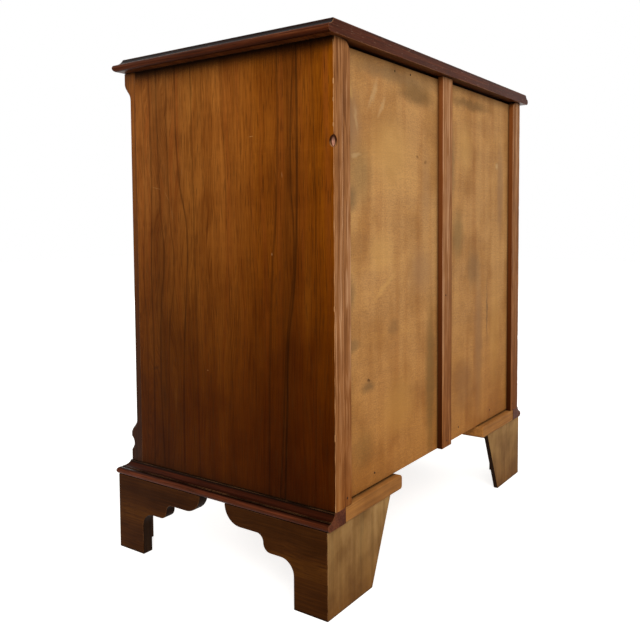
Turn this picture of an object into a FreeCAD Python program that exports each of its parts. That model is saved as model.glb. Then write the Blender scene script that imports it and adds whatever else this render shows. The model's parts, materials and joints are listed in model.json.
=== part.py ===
"""Bachelor's chest: a small chest of four graduated drawers under a brushing slide.

Frame: millimetres, +Z up, the front faces -Y and "right" is +X. The origin is on the floor,
under the middle of the whole chest with its handles.
"""
import FreeCAD, Part
import math
import os
import Sketcher

V = FreeCAD.Vector

# ---------------------------------------------------------------- driving dimensions, mm
SIZES = {
    # the case
    "carcass_width": 668,
    "carcass_depth": 387,
    "side_thickness": 20,
    "post_width": 24,
    "post_depth": 24,
    "bottom_thickness": 16,
    "rail_thickness": 14,
    "rail_depth": 50,
    "top_rail_thickness": 14,
    "back_rail_thickness": 18,
    "back_rail_depth": 40,
    "runner_width": 30,
    "guide_height": 15,
    "slide_opening": 20,
    "drawer_opening_one": 105.8,
    "drawer_opening_two": 118,
    "drawer_opening_three": 131,
    "drawer_opening_four": 144,
    # the canted front corners and their stops
    "cant_leg": 13,
    "hollow_start": 16.5,
    "hollow_height": 22.5,
    "hollow_depth": 4.4,
    "stop_land": 2,
    "lower_stop_height": 24,
    "upper_stop_height": 29,
    "upper_stop_drop": 12.5,
    # the top
    "top_thickness": 18.5,
    "top_side_overhang": 22.3,
    "top_front_overhang": 2.5,
    "top_back_overhang": 8,
    "top_nose_radius": 6,
    "top_quirk_height": 9.6,
    "top_quirk_step": 2.8,
    "top_quirk_width": 1.4,
    "top_mould_width": 12,
    "top_cove_radius": 14,
    "top_arris_radius": 1.5,
    # the base moulding and its rear cleats
    "base_height": 21.2,
    "base_inset": 24.2,
    "base_nose_radius": 5.3,
    "base_projection": 17.8,
    "base_step": 7.2,
    "base_fillet": 1.5,
    "base_cove_inset": 2,
    "base_cove_radius": 13,
    "cleat_length": 180,
    "cleat_end_radius": 5,
    # the bracket feet
    "foot_height": 117.5,
    "foot_projection": 15,
    "foot_rear_recess": 3,
    "bracket_thickness": 18,
    "rear_bracket_thickness": 8,
    "foot_toe_width": 54.5,
    "foot_cove_radius": 21,
    "foot_lower_height": 66,
    "foot_lower_flat": 18,
    "foot_knuckle_radius": 12.5,
    "foot_hollow_radius": 11,
    "foot_upper_flat": 30.5,
    "rear_bracket_top": 165,
    "rear_bracket_toe": 112,
    "foot_block_width": 17,
    "foot_block_lift": 8,
    # the back
    "back_thickness": 18,
    "back_recess": 9,
    "stile_width": 19,
    "stile_top_radius": 16,
    "muntin_width": 36,
    "panel_lap": 6,
    "panel_lift": 2.5,
    "panel_drop": 4,
    # the drawers
    "drawer_side_gap": 1,
    "drawer_top_gap": 4,
    "drawer_front_gap": 1,
    "drawer_rear_gap": 15,
    "drawer_front_thickness": 20,
    "drawer_side_thickness": 10,
    "drawer_bottom_thickness": 6,
    "drawer_bottom_lift": 8,
    "groove_depth": 5,
    "dovetail_lap": 13,
    "dovetail_pin_width": 9,
    "dovetail_spread": 2,
    "bead_thickness": 3,
    "bead_seat_depth": 6,
    "bead_projection": 2.5,
    "bead_chamfer": 0.9,
    "stop_width": 40,
    "stop_depth": 14,
    "stop_height": 4.5,
    "stop_spacing": 300,
    # the brushing slide
    "slide_thickness": 18,
    "slide_rear_gap": 9,
    "slide_end_width": 55,
    "slide_tongue_thickness": 6,
    "slide_tongue_depth": 10,
    "knob_spacing": 330,
    "knob_radius": 7,
    "knob_reach": 15,
    "knob_belly": 9,
    "knob_tip_radius": 3.5,
    "knob_shoulder_radius": 6.4,
    "knob_neck_radius": 3.2,
    "knob_neck_length": 1.4,
    "knob_flange_radius": 6,
    "knob_flange_thickness": 1.6,
    # the handles
    "handle_inset": 135,
    "handle_rise": 9,
    "post_spacing": 80,
    "post_standoff": 16,
    "post_head_radius": 5.5,
    "post_band": 5.4,
    "post_neck_radius": 3.2,
    "post_tip_radius": 2.8,
    "rose_radius": 12,
    "rose_thickness": 1.4,
    "rose_dome": 1.6,
    "bail_radius": 2.2,
    "bail_clearance": 0.05,
    "bail_end_setback": 1,
    "bail_shoulder": 4.5,
    "bail_elbow_radius": 5,
    "bail_neck_radius": 8,
    "bail_loop_radius": 8,
}
TAIL_COUNTS = (3, 3, 4, 4)
BAIL_NECK_TURN = 50  # degrees, outward from straight down
BEND_STEP = 30  # degrees, the most that a bent rod turns at one mitre
FLATS = 8  # round a brass post, knob or bail
LEFT, RIGHT = -1, 1
SIDES = (("left", LEFT), ("right", RIGHT))
OVERCUT = 4  # how far a cutting outline runs past the wood


class Size:
    """A length: its value now, and the sheet expression that gives it."""

    def __init__(self, value, text):
        self.value = value
        self.text = text

    def __add__(self, other):
        other = as_size(other)
        return Size(self.value + other.value, f"({self.text} + {other.text})")

    def __sub__(self, other):
        other = as_size(other)
        return Size(self.value - other.value, f"({self.text} - {other.text})")

    def __mul__(self, other):
        other = as_size(other)
        return Size(self.value * other.value, f"({self.text} * {other.text})")

    def __truediv__(self, other):
        other = as_size(other)
        return Size(self.value / other.value, f"({self.text} / {other.text})")

    def __neg__(self):
        return Size(-self.value, f"(0 - {self.text})")

    def __radd__(self, other):
        return as_size(other) + self

    def __rsub__(self, other):
        return as_size(other) - self

    def __rmul__(self, other):
        return as_size(other) * self


def as_size(length):
    return length if isinstance(length, Size) else Size(float(length), f"({float(length)!r})")


doc = FreeCAD.newDocument("BachelorsChest")


def fill_sheet():
    """Write every driving dimension into the sheet and hand the sizes back by name."""
    sheet = doc.addObject("Spreadsheet::Sheet", "Sizes")
    sizes = {}
    for row, (name, value) in enumerate(SIZES.items(), start=1):
        sheet.set(f"A{row}", name.replace("_", " "))
        sheet.set(f"B{row}", str(value))
        sheet.setAlias(f"B{row}", name)
    doc.recompute()
    for name in SIZES:
        sizes[name] = Size(float(sheet.get(name)), f"Sizes.{name}")
    return sizes


S = fill_sheet()

# ---------------------------------------------------------------- places worked out from them
handle_reach = S["post_standoff"] + S["post_head_radius"]
front_y = (handle_reach - S["carcass_depth"] - S["top_back_overhang"]) / 2
back_y = front_y + S["carcass_depth"]
half_width = S["carcass_width"] / 2
half_opening = half_width - S["post_width"]
half_inside = half_width - S["side_thickness"]
inner_back_y = back_y - S["back_thickness"]
base_z = S["foot_height"]
carcass_z = base_z + S["base_height"]
floor_z = carcass_z + S["bottom_thickness"]
slide_depth = inner_back_y - S["back_rail_depth"] - S["slide_rear_gap"] - front_y
OPENINGS = [S["drawer_opening_" + number] for number in ("one", "two", "three", "four")]


def drawer_levels():
    """The height of the wood that each drawer and the slide run on, from the top down."""
    levels = [floor_z]
    for opening in reversed(OPENINGS):
        levels.insert(0, levels[0] + opening + S["rail_thickness"])
    return levels[0], levels[1:]


slide_z, DRAWER_Z = drawer_levels()
top_rail_z = slide_z + S["slide_opening"]
top_z = top_rail_z + S["top_rail_thickness"]

nodes = {}


def bind(thing, path, size):
    thing.setExpression(path, as_size(size).text)


def place(thing, x, y, z):
    bind(thing, "Placement.Base.x", x)
    bind(thing, "Placement.Base.y", y)
    bind(thing, "Placement.Base.z", z)
    return thing


def node(label, thing):
    """Give a finished sub-part the label that names its file."""
    thing.Label = label
    nodes[label] = thing
    return thing


def board(name, low, high):
    """A plain board between two opposite corners."""
    box = doc.addObject("Part::Box", name)
    for key, a, b in zip(("Length", "Width", "Height"), low, high):
        bind(box, key, as_size(b) - as_size(a))
    return place(box, *low)


def span(side, near, far):
    """The low and high x of a piece that lies from near to far on one side of the chest."""
    return (near, far) if side == RIGHT else (-as_size(far), -as_size(near))


def group(label, members):
    """Separate solids that share one node."""
    compound = doc.addObject("Part::Compound", label)
    compound.Links = members
    return node(label, compound)


def copy_of(thing, name, x, y, z):
    """Another of the same piece, placed somewhere else."""
    link = doc.addObject("App::Link", name)
    link.LinkedObject = thing
    return place(link, x, y, z)


class Outline:
    """A closed outline of straight lines and arcs, drawn from corner to corner.

    flip is -1 for the mirror image: it turns x and the bend of each arc round.
    """

    def __init__(self, x, y, flip=1):
        self.flip = flip
        self.corners = [(flip * as_size(x), as_size(y))]
        self.steps = []

    def line(self, x, y):
        self.corners.append((self.flip * as_size(x), as_size(y)))
        self.steps.append(None)
        return self

    def arc(self, x, y, radius, turn):
        """An arc of under half a circle; turn is 1 to the left and -1 to the right."""
        self.corners.append((self.flip * as_size(x), as_size(y)))
        self.steps.append((as_size(radius), self.flip * turn))
        return self

    def follow(self, profile, edge, inward, backwards=False):
        """Run along an edge profile. Its rows are (inset, height, arc that reaches the row)."""
        arcs = [arc for _, _, arc in profile]
        rows = list(profile)
        if backwards:
            rows.reverse()
            arcs = [None] + arcs[:0:-1]
        for (inset, height, _), arc in zip(rows, arcs):
            x = edge + inward * as_size(inset)
            if arc is None:
                self.line(x, height)
            else:
                self.arc(x, height, *arc)
        return self


def box_outline(x0, y0, x1, y1):
    return Outline(x0, y0).line(x1, y0).line(x1, y1).line(x0, y1)


def arc_geometry(start, end, radius, turn):
    """The sketch arc, and which of its ends the outline enters and leaves by."""
    chord = end - start
    rise = math.sqrt(max(radius * radius - (chord.Length / 2) ** 2, 0.0))
    normal = V(-chord.y, chord.x, 0).normalize() * turn
    centre = (start + end) / 2 + normal * rise
    first, last = (start, end) if turn > 0 else (end, start)
    angles = [math.atan2(p.y - centre.y, p.x - centre.x) for p in (first, last)]
    if angles[1] < angles[0]:
        angles[1] += 2 * math.pi
    arc = Part.ArcOfCircle(Part.Circle(centre, V(0, 0, 1), radius), *angles)
    return arc, (1, 2) if turn > 0 else (2, 1)


def draw_outline(sketch, outline):
    """Add a closed outline to a sketch, with every corner and radius tied to the sheet."""
    first = sketch.GeometryCount
    count = len(outline.corners)
    points = [V(x.value, y.value, 0) for x, y in outline.corners]
    steps = outline.steps + [None]
    ends = []
    for i, step in enumerate(steps):
        start, end = points[i], points[(i + 1) % count]
        if step is None:
            sketch.addGeometry(Part.LineSegment(start, end), False)
            ends.append((1, 2))
        else:
            arc, order = arc_geometry(start, end, step[0].value, step[1])
            sketch.addGeometry(arc, False)
            ends.append(order)
    for i, step in enumerate(steps):
        following = (i + 1) % count
        sketch.addConstraint(
            Sketcher.Constraint("Coincident", first + i, ends[i][1], first + following, ends[following][0])
        )
        for kind, size in zip(("DistanceX", "DistanceY"), outline.corners[i]):
            rule = Sketcher.Constraint(kind, first + i, ends[i][0], size.value)
            tie(sketch, rule, size)
        if step is not None:
            tie(sketch, Sketcher.Constraint("Radius", first + i, step[0].value), step[0])


def tie(sketch, rule, size):
    index = sketch.addConstraint(rule)
    sketch.setExpression(f"Constraints[{index}]", size.text)


def draw_circle(sketch, x, y, radius):
    x, y = as_size(x), as_size(y)
    index = sketch.addGeometry(Part.Circle(V(x.value, y.value, 0), V(0, 0, 1), radius.value), False)
    tie(sketch, Sketcher.Constraint("Radius", index, radius.value), radius)
    tie(sketch, Sketcher.Constraint("DistanceX", index, 3, x.value), x)
    tie(sketch, Sketcher.Constraint("DistanceY", index, 3, y.value), y)


def new_body(name, x, y, z):
    return place(doc.addObject("PartDesign::Body", name), x, y, z)


def new_sketch(body, role, outlines=(), circles=(), along=0, turn=0):
    """A sketch on one of the body's own planes, moved along its normal or turned about its y axis."""
    sketch = body.newObject("Sketcher::SketchObject", body.Name + "_sketch")
    plane = [feature for feature in body.Origin.OriginFeatures if feature.Role == role][0]
    sketch.AttachmentSupport = [(plane, "")]
    sketch.MapMode = "FlatFace"
    sketch.AttachmentOffset = FreeCAD.Placement(V(), FreeCAD.Rotation(V(0, 1, 0), turn))
    bind(sketch, "AttachmentOffset.Base.z", along)
    for outline in outlines:
        draw_outline(sketch, outline)
    for x, y, radius in circles:
        draw_circle(sketch, x, y, radius)
    return sketch


def pad(body, sketch, length, reverse=False, both=False):
    feature = body.newObject("PartDesign::Pad", body.Name + "_pad")
    feature.Profile = sketch
    bind(feature, "Length", length)
    feature.Reversed = reverse
    feature.SideType = "Symmetric" if both else "One side"
    return feature


def cut(body, sketch, length=None, reverse=False):
    """A pocket of the given length, or one through everything on both sides of the sketch."""
    feature = body.newObject("PartDesign::Pocket", body.Name + "_cut")
    feature.Profile = sketch
    if length is None:
        feature.Type = "ThroughAll"
        feature.SideType = "Symmetric"
    else:
        bind(feature, "Length", length)
        feature.Reversed = reverse
    return feature


def cut_mitre(body, corner, outward, reach_in, reach_out, along_x):
    """Cut a board's end to 45 degrees at a corner whose outside lies towards outward."""
    (x, y), (ox, oy) = corner, outward
    far, near = as_size(reach_out) + OVERCUT, as_size(reach_in) + OVERCUT
    outline = Outline(x + ox * far, y + oy * far).line(x - ox * near, y - oy * near)
    if along_x:
        outline.line(x + ox * far, y - oy * near)
    else:
        outline.line(x - ox * near, y + oy * far)
    cut(body, new_sketch(body, "XY_Plane", [outline]))


# ---------------------------------------------------------------- the top
def top_edge_profile():
    """The top's moulded edge, from the underside up: a nose, a quirk and a cove."""
    radius = S["top_nose_radius"]
    quirk = S["top_quirk_height"]
    step = S["top_quirk_step"]
    return [
        (radius, 0, None),
        (0, radius, (radius, 1)),
        (step - S["top_quirk_width"], quirk, (radius, 1)),
        (step, quirk, None),
        (S["top_mould_width"], S["top_thickness"], (S["top_cove_radius"], -1)),
    ]


def make_top():
    """The top board: moulded at the front and both ends, and plain at the back."""
    end = half_width + S["top_side_overhang"]
    nose_y = -S["top_front_overhang"]
    rear_y = S["carcass_depth"] + S["top_back_overhang"]
    arris = S["top_arris_radius"]
    profile = top_edge_profile()

    ends = new_body("top_end_form", 0, front_y, top_z)
    outline = Outline(end - S["top_nose_radius"], 0)
    outline.follow(profile[1:], end, -1).follow(profile, -end, 1, backwards=True)
    pad(ends, new_sketch(ends, "XZ_Plane", [outline]), 3 * S["carcass_depth"], both=True)

    front = new_body("top_front_form", 0, front_y, top_z)
    outline = Outline(rear_y, 0).line(rear_y, S["top_thickness"] - arris)
    outline.arc(rear_y - arris, S["top_thickness"], arris, 1)
    outline.follow(profile, nose_y, 1, backwards=True)
    pad(front, new_sketch(front, "YZ_Plane", [outline]), 2 * S["carcass_width"], both=True)

    top = doc.addObject("Part::Common", "top_board")
    top.Base = ends
    top.Tool = front
    node("top_board", top)


# ---------------------------------------------------------------- the case
def cant_depth():
    """How deep the cant cuts, measured square to it from the full corner."""
    return S["cant_leg"] / math.sqrt(2)


def sweep_radius(height, depth):
    """The radius of the two equal arcs that make an ogee of this height and depth."""
    return (height * height + depth * depth) / (4 * depth)


def sagitta_radius(chord, rise):
    return (chord * chord / 4 + rise * rise) / (2 * rise)


def cant_outline():
    """What the cant takes off the corner, as depth in from the corner over height."""
    depth = cant_depth()
    hollow = S["hollow_start"]
    land = hollow + S["hollow_height"]
    ogee = land + S["stop_land"]
    cant = ogee + S["lower_stop_height"]
    full = top_z - carcass_z - S["upper_stop_drop"]
    cant_end = full - S["upper_stop_height"]
    lower = sweep_radius(S["lower_stop_height"], depth)
    upper = sweep_radius(S["upper_stop_height"], depth)
    outline = Outline(-OVERCUT, hollow).line(0, hollow)
    outline.arc(0, land, sagitta_radius(S["hollow_height"], S["hollow_depth"]), 1)
    outline.line(0, ogee)
    outline.arc(depth / 2, (ogee + cant) / 2, lower, -1)
    outline.arc(depth, cant, lower, 1)
    outline.line(depth, cant_end)
    outline.arc(depth / 2, (cant_end + full) / 2, upper, 1)
    outline.arc(0, full, upper, -1)
    return outline.line(-OVERCUT, full)


def make_corner_posts():
    """The front corner posts, canted, with an ogee stop above and a lamb's tongue below."""
    for name, side in SIDES:
        body = new_body("corner_post_" + name, side * half_width, front_y, carcass_z)
        plan = box_outline(0, 0, -side * S["post_width"], S["post_depth"])
        pad(body, new_sketch(body, "XY_Plane", [plan]), top_z - carcass_z)
        turn = 135 if side == RIGHT else 45
        cut(body, new_sketch(body, "XZ_Plane", [cant_outline()], turn=turn))
        node("corner_post_" + name, body)


def make_sides():
    for name, side in SIDES:
        x0, x1 = span(side, half_inside, half_width)
        low = (x0, front_y + S["post_depth"], carcass_z)
        node("side_panel_" + name, board("side_panel_" + name, low, (x1, back_y, top_z)))


def make_bottom_board():
    """The bottom board, notched round the corner posts, with the back boards behind it."""
    depth = inner_back_y - front_y
    notch = S["post_depth"]
    body = new_body("bottom_board", 0, front_y, carcass_z)
    plan = Outline(half_opening, 0).line(half_opening, notch).line(half_inside, notch)
    plan.line(half_inside, depth).line(-half_inside, depth).line(-half_inside, notch)
    plan.line(-half_opening, notch).line(-half_opening, 0)
    pad(body, new_sketch(body, "XY_Plane", [plan]), S["bottom_thickness"])
    node("bottom_board", body)


def make_top_rails():
    """The rail over the slide and the one under the top at the back."""
    front = board(
        "top_front_rail",
        (-half_opening, front_y, top_rail_z),
        (half_opening, front_y + S["rail_depth"], top_z),
    )
    back = board(
        "top_back_rail",
        (-half_inside, inner_back_y - S["back_rail_depth"], top_z - S["back_rail_thickness"]),
        (half_inside, inner_back_y, top_z),
    )
    group("top_rails", [front, back])


def running_levels():
    """Every level that something slides on, from the slide down to the bottom board."""
    return [slide_z] + DRAWER_Z


def make_drawer_rails():
    """The rails between the openings, with the runners and side guides behind them."""
    rails, runners = [], []
    rail_back_y = front_y + S["rail_depth"]
    post_back_y = front_y + S["post_depth"]
    for number, level in enumerate(running_levels()):
        under = level - S["rail_thickness"]
        on_bottom_board = level is DRAWER_Z[-1]
        if not on_bottom_board:
            low = (-half_opening, front_y, under)
            rails.append(board(f"rail_{number}", low, (half_opening, rail_back_y, level)))
        for name, side in SIDES:
            inner, outer = span(side, half_inside - S["runner_width"], half_inside)
            if not on_bottom_board:
                low = (inner, rail_back_y, under)
                runner = board(f"runner_{number}_{name}", low, (outer, inner_back_y, level))
                runners.append(runner)
            inner, outer = span(side, half_opening, half_inside)
            low = (inner, post_back_y, level)
            high = (outer, inner_back_y, level + S["guide_height"])
            runners.append(board(f"guide_{number}_{name}", low, high))
    group("drawer_rails", rails)
    group("drawer_runners", runners)


def make_stops():
    """Small blocks that stop each drawer front and the slide when they are pushed home."""
    stops = []
    for number, level in enumerate(DRAWER_Z, start=1):
        y = front_y + S["drawer_front_thickness"]
        for name, side in SIDES:
            middle = side * S["stop_spacing"] / 2
            low = (middle - S["stop_width"] / 2, y, level)
            high = (middle + S["stop_width"] / 2, y + S["stop_depth"], level + S["stop_height"])
            stops.append(board(f"drawer_{number}_stop_{name}", low, high))
    y = front_y + slide_depth
    for name, side in SIDES:
        inner, outer = span(side, half_inside - S["runner_width"], half_opening)
        low = (inner, y, slide_z)
        high = (outer, y + S["stop_depth"], slide_z + S["stop_height"])
        stops.append(board("slide_stop_" + name, low, high))
    group("drawer_stops", stops)


# ---------------------------------------------------------------- the back
def make_back_stiles():
    """The two back stiles, rebated inside for the panels and rounded off at the top."""
    for name, side in SIDES:
        body = new_body("back_stile_" + name, side * half_inside, inner_back_y, carcass_z)
        width, rebate = S["stile_width"], S["back_thickness"] - S["back_recess"]
        plan = Outline(0, 0, -side).line(width - S["panel_lap"], 0)
        plan.line(width - S["panel_lap"], rebate).line(width, rebate)
        plan.line(width, S["back_thickness"]).line(0, S["back_thickness"])
        pad(body, new_sketch(body, "XY_Plane", [plan]), top_z - carcass_z)
        radius, height = S["stile_top_radius"], top_z - carcass_z
        corner = Outline(width, height - radius, -side)
        corner.arc(width - radius, height, radius, 1).line(width - radius, height + OVERCUT)
        corner.line(width + OVERCUT, height + OVERCUT).line(width + OVERCUT, height - radius)
        cut(body, new_sketch(body, "XZ_Plane", [corner]))
        node("back_stile_" + name, body)


def make_back_muntin():
    lap, rebate = S["panel_lap"], S["back_thickness"] - S["back_recess"]
    body = new_body("back_muntin", 0, inner_back_y, carcass_z + S["panel_lift"])
    half = S["muntin_width"] / 2
    plan = Outline(lap - half, 0).line(half - lap, 0).line(half - lap, rebate).line(half, rebate)
    plan.line(half, S["back_thickness"]).line(-half, S["back_thickness"]).line(-half, rebate)
    plan.line(lap - half, rebate)
    pad(body, new_sketch(body, "XY_Plane", [plan]), top_z - carcass_z - S["panel_lift"])
    node("back_muntin", body)


def make_back_panels():
    for name, side in SIDES:
        inner = S["muntin_width"] / 2 - S["panel_lap"]
        outer = half_inside - S["stile_width"] + S["panel_lap"]
        x0, x1 = span(side, inner, outer)
        low = (x0, inner_back_y, carcass_z + S["panel_lift"])
        high = (x1, back_y - S["back_recess"], top_z - S["panel_drop"])
        node("back_panel_" + name, board("back_panel_" + name, low, high))


# ---------------------------------------------------------------- the base
def base_outline(flip):
    """The base moulding's section: a nose, a fillet and a cove over a flat strip."""
    nose, reach = S["base_nose_radius"], S["base_projection"]
    step, height = reach - S["base_step"], S["base_height"]
    fillet = S["base_fillet"]
    outline = Outline(-S["base_inset"], 0, flip).line(reach - nose, 0)
    outline.arc(reach, nose, nose, 1).arc(reach - nose, 2 * nose, nose, 1)
    outline.line(step, 2 * nose).line(step, 2 * nose + fillet)
    outline.arc(S["base_cove_inset"], height - fillet, S["base_cove_radius"], -1)
    return outline.line(S["base_cove_inset"], height).line(-S["base_inset"], height)


def make_base_mouldings():
    """Moulded strips under the case, mitred at the front corners and cut square at the back."""
    reach, inset = S["base_projection"], S["base_inset"]
    body = new_body("base_moulding_front", 0, front_y, base_z)
    pad(
        body,
        new_sketch(body, "YZ_Plane", [base_outline(-1)]),
        S["carcass_width"] + 2 * reach,
        both=True,
    )
    for _, side in SIDES:
        cut_mitre(body, (side * half_width, as_size(0)), (side, -1), inset, reach, along_x=True)
    node("base_moulding_front", body)

    for name, side in SIDES:
        body = new_body("base_moulding_" + name, side * half_width, back_y, base_z)
        pad(body, new_sketch(body, "XZ_Plane", [base_outline(side)]), S["carcass_depth"] + reach)
        corner = (as_size(0), -S["carcass_depth"])
        cut_mitre(body, corner, (side, -1), inset, reach, along_x=False)
        node("base_moulding_" + name, body)


def make_base_cleats():
    """Short strips that carry on from the mouldings under the back."""
    radius, height = S["cleat_end_radius"], S["base_height"]
    for name, side in SIDES:
        body = new_body("base_cleat_" + name, side * half_width, back_y, base_z)
        reach = S["cleat_length"]
        outline = Outline(S["base_inset"], 0, -side).line(reach - radius, 0)
        outline.arc(reach, radius, radius, 1).line(reach, height - radius)
        outline.arc(reach - radius, height, radius, 1).line(S["base_inset"], height)
        depth = S["base_inset"] + S["base_projection"]
        pad(body, new_sketch(body, "XZ_Plane", [outline]), depth)
        node("base_cleat_" + name, body)


def scroll_outline(flip):
    """A bracket foot's face: the toe, a cove, a knuckle and hollow, and an ovolo at the end."""
    x = S["foot_toe_width"]
    cove, low = S["foot_cove_radius"], S["foot_lower_height"]
    knuckle, hollow = S["foot_knuckle_radius"], S["foot_hollow_radius"]
    high = low + knuckle + hollow
    ovolo = S["foot_height"] - high
    outline = Outline(0, 0, flip).line(x, 0).line(x, low - cove)
    outline.arc(x + cove, low, cove, -1)
    x = x + cove + S["foot_lower_flat"]
    outline.line(x, low).arc(x + knuckle, low + knuckle, knuckle, 1)
    outline.arc(x + knuckle + hollow, high, hollow, -1)
    x = x + knuckle + hollow + S["foot_upper_flat"]
    outline.line(x, high).arc(x + ovolo, S["foot_height"], ovolo, 1)
    return outline.line(0, S["foot_height"])


def make_bracket(label, corner_x, corner_y, outward, role, outline, thin=None):
    """A bracket board behind its outer face, mitred to its neighbour at the corner.

    A full board that meets a thin one is mitred only as deep as that one, and then squared.
    """
    body = new_body(label, corner_x, corner_y, 0)
    along_x = role == "XZ_Plane"
    reverse = (outward[1] == -1) if along_x else (outward[0] == 1)
    is_thin = thin is not None and along_x
    thickness = thin if is_thin else S["bracket_thickness"]
    pad(body, new_sketch(body, role, [outline]), thickness, reverse=reverse)
    if thin is None or is_thin:
        zero = as_size(0)
        cut_mitre(body, (zero, zero), outward, thickness, 0, along_x)
    else:
        (ox, oy), far, past = outward, as_size(OVERCUT), thickness + OVERCUT
        step = Outline(ox * far, oy * far).line(-ox * thin, -oy * thin)
        step.line(-ox * past, -oy * thin).line(-ox * past, oy * far)
        cut(body, new_sketch(body, "XY_Plane", [step]))
    return node(label, body)


def make_feet():
    """Scrolled brackets at the front and sides, plain tapered ones behind, and corner blocks."""
    blocks = []
    proud = S["foot_projection"]
    front_face_y = front_y - proud
    rear_face_y = back_y - S["foot_rear_recess"]
    inside, thin = S["bracket_thickness"], S["rear_bracket_thickness"]
    block = S["foot_block_width"]
    for name, side in SIDES:
        x = side * (half_width + proud)
        make_bracket(
            "front_bracket_" + name, x, front_face_y, (side, -1), "XZ_Plane", scroll_outline(-side)
        )
        make_bracket(
            "side_bracket_front_" + name, x, front_face_y, (side, -1), "YZ_Plane", scroll_outline(1)
        )
        make_bracket(
            "side_bracket_rear_" + name,
            x,
            rear_face_y,
            (side, 1),
            "YZ_Plane",
            scroll_outline(-1),
            thin,
        )
        taper = Outline(0, 0, -side).line(S["rear_bracket_toe"], 0)
        taper.line(S["rear_bracket_top"], S["foot_height"]).line(0, S["foot_height"])
        make_bracket("rear_bracket_" + name, x, rear_face_y, (side, 1), "XZ_Plane", taper, thin)
        outer = half_width + proud - inside
        x0, x1 = span(side, outer - block, outer)
        for place_name, y in (
            ("front", front_face_y + inside),
            ("rear", rear_face_y - thin - block),
        ):
            low = (x0, y, S["foot_block_lift"])
            high = (x1, y + block, S["foot_height"])
            blocks.append(board(f"foot_block_{place_name}_{name}", low, high))
    group("foot_blocks", blocks)


# ---------------------------------------------------------------- brass, and the brushing slide
def faceted_piece(name, rows, bore=()):
    """A brass piece with flats all round its y axis: one silhouette cut from each direction.

    rows are (y, distance from the axis to the flats); bore holes run along x.
    """
    silhouette = Outline(*rows[0])
    for y, reach in rows[1:]:
        silhouette.line(y, reach)
    for y, reach in reversed(rows):
        silhouette.line(y, -reach)
    widest = max((as_size(reach) for _, reach in rows), key=lambda size: size.value)
    forms = []
    for number in range(FLATS // 2):
        body = new_body(f"{name}_form_{number}", 0, 0, 0)
        body.Placement.Rotation = FreeCAD.Rotation(V(0, 1, 0), 360 / FLATS * number)
        sketch = new_sketch(body, "YZ_Plane", [silhouette], bore if number == 0 else ())
        pad(body, sketch, 4 * widest, both=True)
        forms.append(body)
    piece = doc.addObject("Part::MultiCommon", name)
    piece.Shapes = forms
    return piece


def make_slide():
    """A loose-running board over the drawers, with cleated ends and two small brass knobs."""
    half = half_opening - S["drawer_side_gap"]
    thickness = S["slide_thickness"]
    tongue, reach = S["slide_tongue_thickness"], S["slide_tongue_depth"]
    shoulder = half - S["slide_end_width"]
    low, high = (thickness - tongue) / 2, (thickness + tongue) / 2
    mouth = S["slide_end_width"] - reach

    body = new_body("brushing_slide_board", 0, front_y, slide_z)
    outline = box_outline(-shoulder, 0, shoulder, thickness)
    pad(body, new_sketch(body, "XZ_Plane", [outline]), slide_depth, reverse=True)
    tongues = [
        box_outline(side * (shoulder - reach), low, side * (shoulder + reach), high)
        for side in (LEFT, RIGHT)
    ]
    pad(body, new_sketch(body, "XZ_Plane", tongues), slide_depth, reverse=True)
    node("brushing_slide_board", body)

    ends = []
    for name, side in SIDES:
        body = new_body("slide_end_" + name, side * half, front_y, slide_z)
        outline = Outline(0, 0, -side).line(S["slide_end_width"], 0)
        outline.line(S["slide_end_width"], low).line(mouth, low)
        outline.line(mouth, high).line(S["slide_end_width"], high)
        outline.line(S["slide_end_width"], thickness).line(0, thickness)
        pad(body, new_sketch(body, "XZ_Plane", [outline]), slide_depth, reverse=True)
        ends.append(body)
    group("brushing_slide_ends", ends)

    knob = make_knob()
    copies = []
    for name, side in SIDES:
        x = side * S["knob_spacing"] / 2
        copies.append(copy_of(knob, "slide_knob_" + name, x, front_y, slide_z + thickness / 2))
    group("brushing_slide_knobs", copies)


def make_knob():
    """A brass knob: flange, neck, a swelling belly and a domed tip. It points to -Y."""
    flange, neck = S["knob_flange_thickness"], S["knob_neck_radius"]
    rows = [
        (0, S["knob_flange_radius"]),
        (-flange, S["knob_flange_radius"]),
        (-flange, neck),
        (-flange - S["knob_neck_length"], neck),
        (-S["knob_belly"], S["knob_radius"]),
        (-(S["knob_belly"] + S["knob_reach"]) / 2, S["knob_shoulder_radius"]),
        (-S["knob_reach"], S["knob_tip_radius"]),
    ]
    return faceted_piece("knob", rows)


# ---------------------------------------------------------------- the drawers
def tail_rows(low, high, count):
    """The middle height of each dovetail, and half a tail's width at its wide end."""
    pitch = (high - low) / count
    half = (pitch - S["dovetail_pin_width"]) / 2
    return [(low + (number + 0.5) * pitch, half) for number in range(count)]


def tail_outline(middle, half, root, end):
    """One dovetail, from its root to its wider end along y."""
    narrow = half - S["dovetail_spread"]
    outline = Outline(root, middle - narrow).line(end, middle - half)
    return outline.line(end, middle + half).line(root, middle + narrow)


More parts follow.
